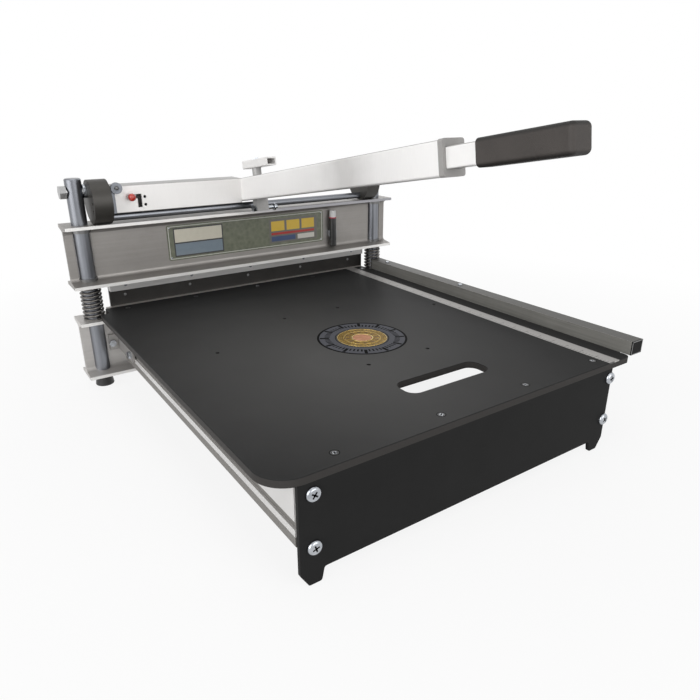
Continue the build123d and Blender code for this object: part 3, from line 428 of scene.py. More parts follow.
@dataclass(frozen=True)
class FenceMetal(Finish):
    """Bronze-coloured tube whose working face is paler: partly rubbed wear, partly painted light."""

    face: float = 0.0
    face_depth: float = 0.6 * MM
    rubbed_and_lit: Colour = (0.27, 0.265, 0.245)
    line_scale: float = 1100.0
    streak_scale: float = 260.0
    drift_scale: float = 10.0

    def paint(self, bench: Bench) -> None:
        """Draw lines along Y, paler streaks on the working face that are partly rubbed wear and partly
        painted light, dust elsewhere.

        Args:
            bench: the material's workspace.
        """
        x, _, _ = bench.axes()
        near = (x - self.face).size() < self.face_depth
        lines = bench.noise(bench.place(Axis.ALONG_Y.value), self.line_scale, 5.0, 0.7)
        long = bench.noise(bench.place((1.0, 0.02, 1.0)), self.streak_scale, 4.0, 0.65)
        drift = bench.noise(bench.place(), self.drift_scale, 4.0, 0.6)
        base = self.mixed(bench, lines * 0.5 + drift * 0.5)
        streak = bench.ramp(long * 0.6 + drift * 0.4, [(0.35, 0.55), (0.65, 1.0)])
        # The working face's paler streaks: partly rubbed wear, partly painted light.
        base = bench.blend(near * streak, base, opaque(self.rubbed_and_lit))
        gloss = (lines - 0.5) * 0.12 + self.roughness
        self.close(bench, base, gloss, bench.bump(lines, BRUSH_DEPTH))


@dataclass(frozen=True)
class BladeSteel(Finish):
    """Oiled dark blade with a bright ground band along its skew edge."""

    start: tuple[float, float] = (0.0, 0.0)
    slope: float = 0.0
    band: float = 3.5 * MM
    bright: Colour = (0.42, 0.40, 0.36)
    line_scale: float = 1200.0
    oil_scale: float = 22.0

    def paint(self, bench: Bench) -> None:
        """Draw grinding lines along the blade and its ground band.

        Args:
            bench: the material's workspace.
        """
        x, _, z = bench.axes()
        along = x - self.start[0]
        up = z - self.start[1] - along * self.slope
        ground = up < self.band
        lines = bench.noise(bench.place(Axis.ALONG_X.value), self.line_scale, 5.0, 0.7)
        oil = bench.noise(bench.place(), self.oil_scale, 5.0, 0.65)
        base = self.mixed(bench, lines * 0.4 + oil * 0.6)
        base = bench.blend(ground * (0.7 + lines * 0.3), base, opaque(self.bright))
        gloss = (oil - 0.5) * 0.2 + self.roughness
        self.close(bench, base, gloss, bench.bump(lines, BRUSH_DEPTH))


@dataclass(frozen=True)
class RailMetal(Finish):
    """Extruded rail: pale faces, with the groove and the underside darkened as painted shade."""

    groove: tuple[float, float] = (0.0, 0.0)
    skirt: float = 0.0
    # Dark colour painted as shade in the groove and below the skirt height.
    dull_and_shaded: Colour = (0.14, 0.132, 0.122)
    shade_range: float = 1.5
    line_scale: float = 1300.0
    drift_scale: float = 12.0

    def paint(self, bench: Bench) -> None:
        """Draw lines along Y, and darken the groove and the faces below the skirt height as painted shade.

        Args:
            bench: the material's workspace.
        """
        _, _, height = bench.axes()
        in_groove = (height > self.groove[0]) * (height < self.groove[1])
        below = height < self.skirt
        lines = bench.noise(bench.place(Axis.ALONG_Y.value), self.line_scale, 4.0, 0.65)
        drift = bench.noise(bench.place(), self.drift_scale, 4.0, 0.6)
        mix = (lines - 0.5) * 0.4 + (drift - 0.5) * 0.6 + 0.5
        # Painted shade: the groove and the faces below the skirt height go dark.
        lighter = tuple(c * self.shade_range for c in self.dull_and_shaded)
        painted_shade = bench.blend(mix * 0.6, opaque(self.dull_and_shaded), opaque(lighter))
        base = bench.blend((in_groove + below) * 0.92, self.mixed(bench, mix), painted_shade)
        gloss = (lines - 0.5) * 0.1 + (in_groove + below) * 0.15 + self.roughness
        self.close(bench, base, gloss, bench.bump(lines, BRUSH_DEPTH))


@dataclass(frozen=True)
class PowderCoat(Finish):
    """Coated sheet, plastic or rubber with a fine orange peel."""

    peel_scale: float = 1600.0
    peel_depth: float = 0.06 * MM
    dust: float = 0.3
    wear: float = 0.15
    coat: float = 0.0
    specular: float = 0.5
    dust_scale: float = 14.0
    rub_scale: float = 160.0

    def painted_reflection(self, bench: Bench, base: Wire) -> Wire:
        """Leave the coat's colour as it is."""
        return base

    def paint(self, bench: Bench) -> None:
        """Draw the peel, dust that lightens the colour, and faint rubbed marks.

        Args:
            bench: the material's workspace.
        """
        plain = bench.place()
        peel = bench.noise(plain, self.peel_scale, 2.0, 0.6)
        cloud = bench.noise(plain, self.dust_scale, 6.0, 0.66)
        dust = bench.ramp(cloud, [(0.38, 0.0), (0.78, 1.0)])
        strokes = bench.noise(bench.place((0.25, 1.6, 1.0)), self.rub_scale, 3.0, 0.7)
        rubs = bench.ramp(strokes, [(0.6, 0.0), (0.7, 1.0)])
        base = self.mixed(bench, dust * self.dust + peel * 0.12)
        pale = tuple(min(1.0, c * 1.6 + 0.01) for c in self.tone)
        base = self.painted_reflection(bench, bench.blend(rubs * self.wear * 0.5, base, opaque(pale)))
        gloss = dust * 0.03 + rubs * self.wear * 0.1 + (peel - 0.5) * 0.06 + self.roughness
        more = {"Coat Weight": self.coat, "Specular IOR Level": self.specular}
        self.close(bench, base, gloss, bench.bump(peel, self.peel_depth), more)


@dataclass(frozen=True)
class TableCoat(PowderCoat):
    """Coat of the table, with a paler painted sheen in its middle."""

    # Centre, reach, and light and dark tones of the painted sheen.
    middle: tuple[float, float] = (0.0, 0.0)
    reach: tuple[float, float] = (0.30, 0.38)
    rubbed_and_lit: tuple[Colour, Colour] = ((0.105, 0.104, 0.102), (0.075, 0.074, 0.073))
    side: Colour = (0.050, 0.047, 0.045)
    shoulder: float = 0.15 * MM
    arris: float = 1.1 * MM
    cloud_scale: float = 6.0
    fine_scale: float = 900.0

    def painted_reflection(self, bench: Bench, base: Wire) -> Wire:
        """Paint a paler sheen on the middle of the table, and make its sides paler below a dark arris.

        Args:
            bench: the material's workspace.
            base: the coat's own colour.

        Returns:
            The wire of the colour with the painted sheen and the paler sides.
        """
        spot = bench.spot()
        x, y, z = bench.axes(spot)
        dx = (x - self.middle[0]) / self.reach[0]
        dy = (y - self.middle[1]) / self.reach[1]
        cloud = bench.noise(spot, self.cloud_scale, 4.0, 0.6)
        away = (dx * dx + dy * dy).root() + (cloud - 0.5) * 0.25
        # Painted sheen: paler towards the middle, fading out at the reach.
        share = bench.ramp(away, [(0.1, 1.0), (1.0, 0.0)])
        light, dark = self.rubbed_and_lit
        fine = bench.noise(spot, self.fine_scale, 3.0)
        top = bench.blend(share, base, bench.blend(fine, opaque(dark), opaque(light)))
        depth = TABLE_TOP - z
        rim = bench.blend(depth > self.shoulder, top, opaque(self.shade))
        return bench.blend((depth > self.arris) * (0.7 + fine * 0.3), rim, opaque(self.side))


@dataclass(frozen=True)
class TurnedBrass(Finish):
    """Disc turned on a lathe: rings about its own centre and a copper-coloured middle."""

    centre: tuple[float, float] = (0.0, 0.0)
    radius: float = 38.6 * MM
    turns: float = 90.0
    spokes: float = 36.0
    petals: float = 12.0
    border: tuple[float, float] = (0.80, 0.93)
    band: tuple[float, float] = (0.46, 0.68)
    middle: float = 0.37
    rim: float = 0.955
    # Each lip's place and half its width, as shares of the radius.
    lips: tuple[tuple[float, float], ...] = ((0.41, 0.03), (0.70, 0.02), (0.78, 0.015))
    copper: Colour = (0.60, 0.26, 0.17)
    spoke_dark: Colour = (0.10, 0.06, 0.01)
    petal_dark: Colour = (0.12, 0.06, 0.01)
    lip_dark: Colour = (0.08, 0.05, 0.01)
    tarnish_scale: float = 150.0
    relief: float = 0.4 * MM

    def paint(self, bench: Bench) -> None:
        """Draw rings, a knurled border, a copper-coloured middle and tarnish.

        Args:
            bench: the material's workspace.
        """
        spot = bench.spot()
        x, y, _ = bench.axes(spot)
        dx, dy = x - self.centre[0], y - self.centre[1]
        share = (dx * dx + dy * dy).root() / self.radius
        angle = dy.angle(dx)
        rings = (share * self.turns).sine() * 0.5 + 0.5
        spokes = (angle * self.spokes).sine() * 0.5 + 0.5
        petals = (angle * self.petals).sine() * 0.5 + 0.5
        border = (share > self.border[0]) * (share < self.border[1])
        band = (share > self.band[0]) * (share < self.band[1])
        middle = share < self.middle
        lip = share > self.rim
        for place, half in self.lips:
            lip = lip + ((share - place).size() < half)
        stains = bench.noise(spot, self.tarnish_scale, 5.0, 0.65)
        tarnish = bench.ramp(stains, [(0.35, 0.0), (0.7, 1.0)])
        base = bench.blend(rings * 0.5 + tarnish * 0.5, opaque(self.tone), opaque(self.shade))
        base = bench.blend(middle * (0.85 - tarnish * 0.4), base, opaque(self.copper))
        base = bench.blend(border * spokes * 0.75, base, opaque(self.spoke_dark))
        base = bench.blend(band * petals * 0.85, base, opaque(self.petal_dark))
        base = bench.blend(lip * 0.7, base, opaque(self.lip_dark))
        height = rings * 0.3 + border * spokes + band * petals * 0.6 - lip * 0.8
        normal = bench.bump(height, self.relief, 0.8)
        self.close(bench, base, tarnish * 0.2 + self.roughness, normal)


@dataclass(frozen=True)
class RuledStrip(Finish):
    """Flat strip with plain graduations along its length."""

    start: float = 0.0
    edge: float = 0.0
    step: float = 5.0 * MM
    short_mark: tuple[float, float] = (0.8 * MM, 6.0 * MM)
    long_mark: tuple[float, float] = (1.1 * MM, 11.0 * MM)
    ink: Colour = (0.03, 0.03, 0.03)
    line_scale: float = 1500.0
    drift_scale: float = 16.0
    relief: float = 0.03 * MM

    def paint(self, bench: Bench) -> None:
        """Draw a short line every step and a longer one every fifth, on brushed metal.

        Args:
            bench: the material's workspace.
        """
        x, y, _ = bench.axes()
        along, across = y - self.start, x - self.edge
        short = ((along % self.step) < self.short_mark[0]) * (across < self.short_mark[1])
        long = ((along % (5 * self.step)) < self.long_mark[0]) * (across < self.long_mark[1])
        mark = short.most(long)
        lines = bench.noise(bench.place(Axis.ALONG_Y.value), self.line_scale, 3.0)
        drift = bench.noise(bench.place(), self.drift_scale, 4.0)
        base = bench.blend(mark * 0.85, self.mixed(bench, lines * 0.6 + drift * 0.4), opaque(self.ink))
        normal = bench.bump(lines - mark * 0.6, self.relief)
        self.close(bench, base, lines * 0.1 + self.roughness, normal)


@dataclass(frozen=True)
class Patch:
    """Plain rectangle on a label, in shares of the label's length and height."""

    across: tuple[float, float]
    up: tuple[float, float]
    dark: Colour
    light: Colour

    def mask(self, u: Wire, v: Wire) -> Wire:
        """One inside the rectangle."""
        return (u > self.across[0]) * (u < self.across[1]) * (v > self.up[0]) * (v < self.up[1])

    def lay(self, base: Wire, mask: Wire, grain: Wire) -> Wire:
        """Lay the rectangle's grained colour over a base."""
        bench = base.bench
        return bench.blend(mask, base, bench.blend(grain, opaque(self.dark), opaque(self.light)))


@dataclass(frozen=True)
class PlainLabel(Finish):
    """Blank rating plate: mottled film with a frame and bare panels."""

    low: tuple[float, float] = (0.0, 0.0)
    high: tuple[float, float] = (1.0, 1.0)
    border: tuple[float, float] = (2.2 * MM, 3.4 * MM)
    border_pale: Colour = (0.62, 0.62, 0.58)
    surround: Patch = Patch((0.035, 0.325), (0.09, 0.91), (0.045, 0.045, 0.045), (0.045, 0.045, 0.045))
    panels: tuple[Patch, ...] = (
        Patch((0.042, 0.318), (0.50, 0.87), (0.50, 0.47, 0.38), (0.68, 0.65, 0.56)),
        Patch((0.042, 0.318), (0.13, 0.46), (0.13, 0.17, 0.21), (0.22, 0.27, 0.31)),
        Patch((0.62, 0.955), (0.13, 0.87), (0.10, 0.10, 0.09), (0.17, 0.16, 0.14)),
    )
    mottle_scale: float = 120.0
    weave_scale: float = 1200.0
    cell_scale: float = 130.0
    relief: float = 0.03 * MM
    coat: float = 0.3
    tiles: Patch = Patch((0.635, 0.94), (0.5, 0.8), (0.52, 0.34, 0.03), (0.66, 0.46, 0.06))
    tile_step: float = 0.105
    tile_width: float = 0.09
    bars: tuple[Patch, ...] = (
        Patch((0.635, 0.935), (0.38, 0.45), (0.30, 0.02, 0.02), (0.42, 0.04, 0.03)),
        Patch((0.635, 0.80), (0.18, 0.33), (0.03, 0.05, 0.12), (0.06, 0.09, 0.19)),
        Patch((0.815, 0.935), (0.18, 0.33), (0.46, 0.44, 0.40), (0.60, 0.58, 0.53)),
    )

    def paint(self, bench: Bench) -> None:
        """Draw a border line, a muted mottled field and blank panels.

        Args:
            bench: the material's workspace.
        """
        x, _, z = bench.axes()
        long, tall = self.high[0] - self.low[0], self.high[1] - self.low[1]
        u = (x - self.low[0]) / long
        v = (z - self.low[1]) / tall
        out_x = ((u - 0.5).size() * -1.0 + 0.5) * long
        out_z = ((v - 0.5).size() * -1.0 + 0.5) * tall
        inside = out_x.least(out_z)
        border = (inside > self.border[0]) * (inside < self.border[1])
        plain = bench.place()
        mottle = bench.noise(plain, self.mottle_scale, 5.0, 0.6)
        weave = bench.noise(bench.place(Axis.ALONG_X.value), self.weave_scale, 2.0)
        cells = bench.cells(plain, self.cell_scale)
        base = self.mixed(bench, mottle * 0.7 + cells * 0.5)
        grain = weave * 0.4 + mottle * 0.4
        for patch in (self.surround, *self.panels, self.tiles, *self.bars):
            mask = patch.mask(u, v)
            if patch is self.tiles:
                mask = mask * (((u - patch.across[0]) % self.tile_step) < self.tile_width)
            base = patch.lay(base, mask, grain)
        base = bench.blend(border * 0.8, base, opaque(self.border_pale))
        normal = bench.bump(weave + border * 0.5, self.relief)
        self.close(bench, base, mottle * 0.12 + self.roughness, normal, {"Coat Weight": self.coat})


@dataclass(frozen=True)
class MouldedGrip(Finish):
    """Moulded grip: a fine leathery grain, with dark rounded edges of painted shade."""

    tilt: float = 0.0
    rise: float = 0.0
    end: float = 1.0
    half: float = 15.0 * MM
    side: float = 0.0
    # Colour of the painted shade on the edges.
    edge: Colour = (0.010, 0.009, 0.008)
    edge_sharpness: float = 160.0
    cell_scale: float = 900.0
    fine_scale: float = 2400.0
    drift_scale: float = 24.0
    relief: float = 0.18 * MM
    specular: float = 0.3

    def paint(self, bench: Bench) -> None:
        """Draw cells for the grain, soft drifts of tone and dark edges of painted shade.

        Args:
            bench: the material's workspace.
        """
        across, along, up = bench.axes(bench.turned(self.tilt))
        # Painted shade: dark rims along the top and bottom, and a dark corner edge between the +X side and
        # the end.
        inset = self.half - (up - self.rise).size()
        corner = (self.side - across).most(along - self.end)
        rim = bench.ramp(inset.least(corner) * self.edge_sharpness, [(0.3, 1.0), (0.75, 0.0)])
        plain = bench.place()
        cells = bench.cells(plain, self.cell_scale)
        fine = bench.noise(plain, self.fine_scale, 3.0, 0.6)
        cloud = bench.noise(plain, self.drift_scale, 4.0, 0.6)
        drift = bench.ramp(cloud, [(0.35, 0.0), (0.7, 1.0)])
        base = bench.blend(rim * 0.92, self.mixed(bench, drift * 0.6 + cells * 0.3), opaque(self.edge))
        gloss = drift * 0.12 + fine * 0.06 + self.roughness
        normal = bench.bump(cells * 0.6 + fine * 0.4, self.relief)
        self.close(bench, base, gloss, normal, {"Specular IOR Level": self.specular})


def grey(value: float, warmth: float = 0.0) -> Colour:
    """Linear grey, warmer with a positive warmth."""
    return (value * (1 + warmth), value, value * (1 - warmth))


@dataclass
class FinishRack:
    """All finishes of the cutter, built once and handed out by name."""

    slope: float = math.radians(9.13)
    made: dict[str, bpy.types.Material] = field(default_factory=dict)

    def grip_frame(self) -> tuple[float, float, float]:
        """Find the grip's axis, far end and height once the slope is turned level.

        Returns:
            The axis's height, the far end's place along Y and half the grip's height.
        """
        low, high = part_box("grip")
        middle = Matrix.Rotation(self.slope, 3, "X") @ ((low + high) / 2)
        cosine, sine = math.cos(self.slope), math.sin(self.slope)
        wide, tall = high.y - low.y, high.z - low.z
        spread = math.cos(2 * self.slope)
        length, height = (wide * cosine - tall * sine) / spread, (tall * cosine - wide * sine) / spread
        return middle.z, middle.y - length / 2, height / 2

    def metals(self) -> list[Finish]:
        """List the bare metals.

        Returns:
            Their finishes.
        """
        grip_rise, _, _ = self.grip_frame()
        blade_low, blade_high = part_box("blade")
        edge_left, edge_right = 129.0 * MM, 120.0 * MM
        skew = (edge_right - edge_left) / (blade_high.x - blade_low.x)
        # Handle tones; the second is the grey of the painted shade patch.
        white, shaded_grey = grey(0.90, 0.012), grey(0.54, 0.02)
        upright, level, none = Axis.ALONG_Z, Axis.ALONG_X, Axis.NONE
        faint = {"line_scale": 500.0, "contrast": 0.2}
        steel, steel_dark = (0.335, 0.345, 0.37), (0.105, 0.112, 0.128)
        zinc, zinc_dark = (0.62, 0.64, 0.67), (0.24, 0.26, 0.29)
        bronze, bronze_dark = (0.085, 0.082, 0.074), (0.055, 0.053, 0.048)
        pale, dull_and_shaded = grey(0.84, 0.018), grey(0.60, 0.022)
        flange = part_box("upper_beam")[1].z - 10.0 * MM
        tube_low, tube_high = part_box("cross_tube")
        tube = {"rise": (tube_low.z + tube_high.z) / 2, "half": (tube_high.z - tube_low.z) / 2}
        # Top of the painted shadow line along the foot of the knob bar.
        knob_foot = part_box("knob_bar")[0].z + 1.2 * MM
        fence_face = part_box("fence_tube")[0].x
        sloping = {"tilt": self.slope, "rise": grip_rise}
        # Rail groove and skirt heights, where painted shade goes.
        rail = {"groove": (68.9 * MM, 78.9 * MM), "skirt": 60.2 * MM}
        return [
            # Upper beam: the flange edge above the given height carries the painted reflection.
            BeamMetal("beam_aluminium", grey(0.33, 0.05), grey(0.20, 0.06), 0.42, 0.6, reflection_above=flange),
            BeamMetal("base_aluminium", grey(0.58, 0.03), grey(0.36, 0.04), 0.42, 0.5),
            TubeMetal("lever_aluminium", pale, dull_and_shaded, 0.36, 0.3, shade_centre=NOWHERE, **tube),
            # Knob bar: a dark strip along its foot is painted shadow.
            RailMetal("knob_aluminium", grey(0.86, 0.012), grey(0.70, 0.02), 0.4, 0.3, skirt=knob_foot),
            TubeMetal("handle_aluminium", white, shaded_grey, 0.36, 0.25, half=20.0 * MM, **sloping),
            TubeMetal("arm_aluminium", white, shaded_grey, 0.36, 0.2, half=12.0 * MM, **sloping),
            BrushedMetal("bar_aluminium", grey(0.62, 0.01), grey(0.36, 0.02), 0.4, 0.7),
            RailMetal("rail_aluminium", grey(0.70, 0.012), grey(0.50, 0.02), 0.42, 0.45, **rail),
            BeamMetal("bracket_aluminium", grey(0.40, 0.03), grey(0.26, 0.04), 0.42, 0.6, edge_at=NOWHERE),
            # Post streaks along Z: partly grinding lines, partly painted reflection.
            BrushedMetal("post_steel", steel, steel_dark, 0.3, 0.95, upright, line_scale=260.0, contrast=0.7),
            BrushedMetal("rod_steel", steel, steel_dark, 0.28, 0.95, level, line_scale=500.0, contrast=0.4),
            BrushedMetal("anvil_steel", grey(0.62, 0.06), grey(0.40, 0.06), 0.45, 0.3),
            BrushedMetal(
                "stem_steel", grey(0.50, 0.01), grey(0.26, 0.02), 0.5, 0.3, upright,
                line_scale=300.0, contrast=0.8,
            ),
            BrushedMetal("stud_steel", grey(0.26), grey(0.15), 0.45, 0.5, none, **faint),
            BrushedMetal(
                "cast_block", grey(0.40, 0.02), grey(0.22, 0.02), 0.5, 0.4, none,
                line_scale=260.0, contrast=0.6,
            ),
            BladeSteel(
                "blade_steel", grey(0.055, 0.06), grey(0.03, 0.06), 0.35, 0.6,
                start=(blade_low.x, edge_left), slope=skew,
            ),
            BrushedMetal(
                "zinc_steel", zinc, zinc_dark, 0.2, 1.0, none,
                line_scale=160.0, contrast=1.3, line_depth=0.005 * MM,
            ),
            BrushedMetal(
                "block_steel", grey(0.50), grey(0.34), 0.3, 0.9, none,
                line_scale=500.0, contrast=0.15, line_depth=0.01 * MM,
            ),
            BrushedMetal("screw_dark", grey(0.08), grey(0.04), 0.35, 0.7, none, **faint),
            BrushedMetal("blued_plate", (0.28, 0.295, 0.325), (0.16, 0.17, 0.19), 0.38, 0.7, upright),
            FenceMetal("fence_bronze", bronze, bronze_dark, 0.45, 0.4, face=fence_face),
            BrushedMetal("cam_steel", (0.062, 0.058, 0.052), (0.03, 0.028, 0.025), 0.42, 0.4),
            BrushedMetal("spring_steel", grey(0.20, 0.06), grey(0.07, 0.05), 0.32, 0.85, none),
            BrushedMetal("bush_steel", grey(0.22), grey(0.12), 0.3, 0.95),
        ]

    def coats(self) -> list[Finish]:
        """List the coatings, plastics and printed surfaces.

        Returns:
            Their finishes.
        """
        disc_low, disc_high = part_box("medallion_disc")
        disc = ((disc_low.x + disc_high.x) / 2, (disc_low.y + disc_high.y) / 2)
        # Centre of the table's painted sheen.
        painted_reflection = (disc[0] - 85.0 * MM, disc[1] - 60.0 * MM)
        strip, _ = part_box("scale_strip")
        low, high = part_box("label_plate")
        rise, end, half = self.grip_frame()
        sloping = {"tilt": self.slope, "rise": rise, "end": end, "half": half}
        grip_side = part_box("grip")[1].x
        red, deep_red = (0.62, 0.045, 0.02), (0.40, 0.02, 0.012)
        pink, deep_pink = (0.6, 0.10, 0.14), (0.4, 0.05, 0.08)
        brown, deep_brown = (0.068, 0.060, 0.055), (0.040, 0.035, 0.032)
        green, deep_green = (0.17, 0.18, 0.13), (0.07, 0.08, 0.05)
        gold, deep_gold = (0.45, 0.27, 0.012), (0.085, 0.045, 0.004)
        slate, deep_slate = (0.125, 0.128, 0.146), (0.100, 0.102, 0.116)
        glossy = {"peel_scale": 900.0, "peel_depth": 0.02 * MM}
        pen = {"dust": 0.2, "wear": 0.1, "coat": 0.3, **glossy}
        return [
            TableCoat(
                "table_coat", grey(0.045), grey(0.027), 0.45, peel_scale=2200.0, peel_depth=0.04 * MM,
                dust=0.25, wear=0.04, specular=0.03, middle=painted_reflection,
            ),
            PowderCoat(
                "panel_coat", grey(0.027), grey(0.018), 0.5, peel_scale=1500.0, peel_depth=0.05 * MM,
                wear=0.03, specular=0.03,
            ),
            PowderCoat(
                "rubber_black", grey(0.022), grey(0.010), 0.35, peel_scale=900.0, peel_depth=0.08 * MM,
                dust=0.4, coat=0.2, specular=0.4,
            ),
            PowderCoat(
                "plastic_black", grey(0.025), grey(0.010), 0.42, peel_scale=1800.0, peel_depth=0.04 * MM
            ),
            PowderCoat(
                "collar_grey", grey(0.40, 0.03), grey(0.29, 0.03), 0.45, peel_scale=1500.0,
                peel_depth=0.05 * MM,
            ),
            PowderCoat(
                "ball_red", red, deep_red, 0.2, peel_scale=700.0, peel_depth=0.02 * MM, dust=0.4,
                wear=0.1, coat=0.6,
            ),
            PowderCoat("ring_pink", pink, deep_pink, 0.35, **glossy),
            PowderCoat("pen_white", grey(0.78), grey(0.62), 0.35, **pen),
            PowderCoat("pen_black", grey(0.02), grey(0.01), 0.3, **pen),
            PowderCoat(
                "print_ink", grey(0.006), grey(0.003), 0.55, peel_scale=1200.0, peel_depth=0.02 * MM,
                dust=0.2, wear=0.0, specular=0.02,
            ),
            PowderCoat(
                "print_grey", slate, deep_slate, 0.5, peel_scale=2200.0, peel_depth=0.03 * MM,
                wear=0.05, specular=0.03,
            ),
            PowderCoat(
                "recess_dark", grey(0.012), grey(0.006), 0.6, peel_scale=900.0, peel_depth=0.03 * MM,
                dust=0.2, wear=0.05, specular=0.1,
            ),
            MouldedGrip("grip_brown", brown, deep_brown, 0.5, side=grip_side, **sloping),
            TurnedBrass("medallion_brass", gold, deep_gold, 0.3, 0.95, centre=disc),
            BrushedMetal(
                "brass_bright", (0.90, 0.76, 0.42), gold, 0.2, 0.9, Axis.NONE, line_scale=300.0, contrast=0.2
            ),
            RuledStrip(
                "scale_metal", grey(0.50, 0.03), grey(0.33, 0.03), 0.42, 0.4, start=strip.y, edge=strip.x
            ),
            PlainLabel("label_film", green, deep_green, 0.4, 0.1, (low.x, low.z), (high.x, high.z)),
        ]

    def stock(self) -> None:
        """Build every finish."""
        for finish in self.metals() + self.coats():
            self.made[finish.name] = finish.make()
        log.info("finishes made: %d", len(self.made))

    def dress(self, piece: bpy.types.Object, name: str) -> None:
        """Give a CAD node's object or a new piece its finish, by name."""
        piece.data.materials.clear()
        piece.data.materials.append(self.made[name])


def add(name: str, data: bpy.types.ID) -> bpy.types.Object:
    """Put a new object in the scene.

    Args:
        name: the object's name.
        data: its mesh, lamp or camera.

    Returns:
        The new object.
    """
    made = bpy.data.objects.new(name, data)
    bpy.context.scene.collection.objects.link(made)
    return made


class Workshop:
    """Makes pieces from bmeshes and puts them on the cutter."""

    merge_within: float = 1e-7
    cross_bevel: float = 0.2
    cross_middle: float = 1.5

    def __init__(self, rack: FinishRack) -> None:
        """Keep the rack of finishes."""
        self.rack = rack

    def piece(
        self,
        name: str,
        body: str,
        finish: str,
        shape: bmesh.types.BMesh,
        slot: str,
        smooth: bool = False,
    ) -> bpy.types.Object:
        """Turn a bmesh into a finished piece that rides on a body.

        Args:
            name: the piece's name.
            body: the CAD body that carries it.
            finish: name of its finish.
            shape: its mesh, in metres, in the cutter's frame.
            slot: not used.
            smooth: whether its faces are shaded smooth.

        Returns:
            The new object.
        """
        bmesh.ops.recalc_face_normals(shape, faces=shape.faces)
        mesh = bpy.data.meshes.new(name)
        shape.to_mesh(mesh)
        shape.free()
        if smooth:
            mesh.shade_smooth()
        made = add(name, mesh)
        self.rack.dress(made, finish)
        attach(made, body)
        log.info("piece %s rides on %s", name, body)
        return made

    @staticmethod
    def lathe(
        shape: bmesh.types.BMesh,
        place: Matrix,
        profile: list[tuple[float, float]],
        around: int = 48,
        closed: bool = False,
    ) -> None:
        """Spin a profile about the local Z axis.

        Args:
            shape: the bmesh that receives it.
            place: the local frame; its Z is the axis.
            profile: pairs of radius and height.
            around: number of steps round the axis.
            closed: whether the profile joins up with its own start.
        """
        verts = [shape.verts.new(place @ Vector((r, 0.0, z))) for r, z in profile]
        pairs = list(zip(verts, verts[1:]))
        if closed:
            pairs.append((verts[-1], verts[0]))
        edges = [shape.edges.new(pair) for pair in pairs]
        axis = (place.to_3x3() @ Vector((0, 0, 1))).normalized()
        bmesh.ops.spin(
            shape,
            geom=verts + edges,
            cent=place.translation,
            axis=axis,
            angle=math.tau,
            steps=around,
            use_merge=True,
        )
        bmesh.ops.remove_doubles(shape, verts=shape.verts, dist=Workshop.merge_within)

    @staticmethod
    def block(shape: bmesh.types.BMesh, place: Matrix, size: Vector, edge: float = 0.0) -> None:
        """Add a block, with bevelled edges if asked.

        Args:
            shape: the bmesh that receives it.
            place: where its middle is and how it is turned.
            size: its lengths.
            edge: width of the bevel.
        """
        made = bmesh.ops.create_cube(shape, size=1.0, matrix=place @ Matrix.Diagonal((*size, 1.0)))
        if edge:
            edges = list({e for v in made["verts"] for e in v.link_edges})
            bmesh.ops.bevel(
                shape, geom=edges, offset=edge, segments=2, profile=0.5, affect="EDGES", material=-1
            )

    def cross(self, shape: bmesh.types.BMesh, place: Matrix, length: float, arm: float, depth: float) -> None:
        """Add a cross with tapered middle, as in a screw's head.

        Args:
            shape: the bmesh that receives it.
            place: middle of the head's face; local +Z points out.
            length: length of an arm from end to end.
            arm: width of an arm.
            depth: thickness of the cross.
        """
        for quarter in (0.0, math.pi / 2):
            turn = Matrix.Rotation(quarter, 4, "Z")
            self.block(shape, place @ turn, Vector((length, arm, depth)), depth * self.cross_bevel)
        middle = place @ Matrix.Rotation(math.pi / 4, 4, "Z")
        wide = arm * self.cross_middle
        self.block(shape, middle, Vector((wide, wide, depth)), depth * self.cross_bevel)

    @staticmethod
    def crown(radius: float, height: float, rings: int = 6) -> list[tuple[float, float]]:
        """Profile of a round-topped head.

        Args:
            radius: radius at the seat.
            height: height of the crown.
            rings: number of steps up it.

        Returns:
            Pairs of radius and height, from the axis at the seat to the top.
        """
        steps = [i / rings * math.pi / 2 for i in range(rings)]
        curve = [(radius * math.cos(t), height * math.sin(t)) for t in steps]
        return [(0.0, 0.0), *curve, (0.0, height)]

    def heads(
        self, places: list[Matrix], radius: float, height: float, around: int = 24
    ) -> bmesh.types.BMesh:
        """Turn round-topped heads.

        Args:
            places: the middle of each head's seat; local +Z points out.
            radius: radius at the seat.
            height: height of the crown.
            around: number of steps round the axis.

        Returns:
            The bmesh that holds them.
        """
        shape = bmesh.new()
        for place in places:
            self.lathe(shape, place, self.crown(radius, height), around)
        return shape


FACING_USER = Matrix.Rotation(math.pi / 2, 4, "X")
FACING_RIGHT = Matrix.Rotation(math.pi / 2, 4, "Y")


@dataclass
class Section:
    """A sub-assembly: CAD nodes with their finishes, and added details."""

    shop: Workshop
    nodes: dict[str, str] = field(default_factory=dict)

    def make(self) -> None:
        """Dress the nodes and build the details."""
        for node, finish in self.nodes.items():
            self.shop.rack.dress(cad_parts[node], finish)
        log.info("%s dressed: %d nodes", type(self).__name__, len(self.nodes))
        self.build()

    def build(self) -> None:
        """Build the details; a plain section has none."""


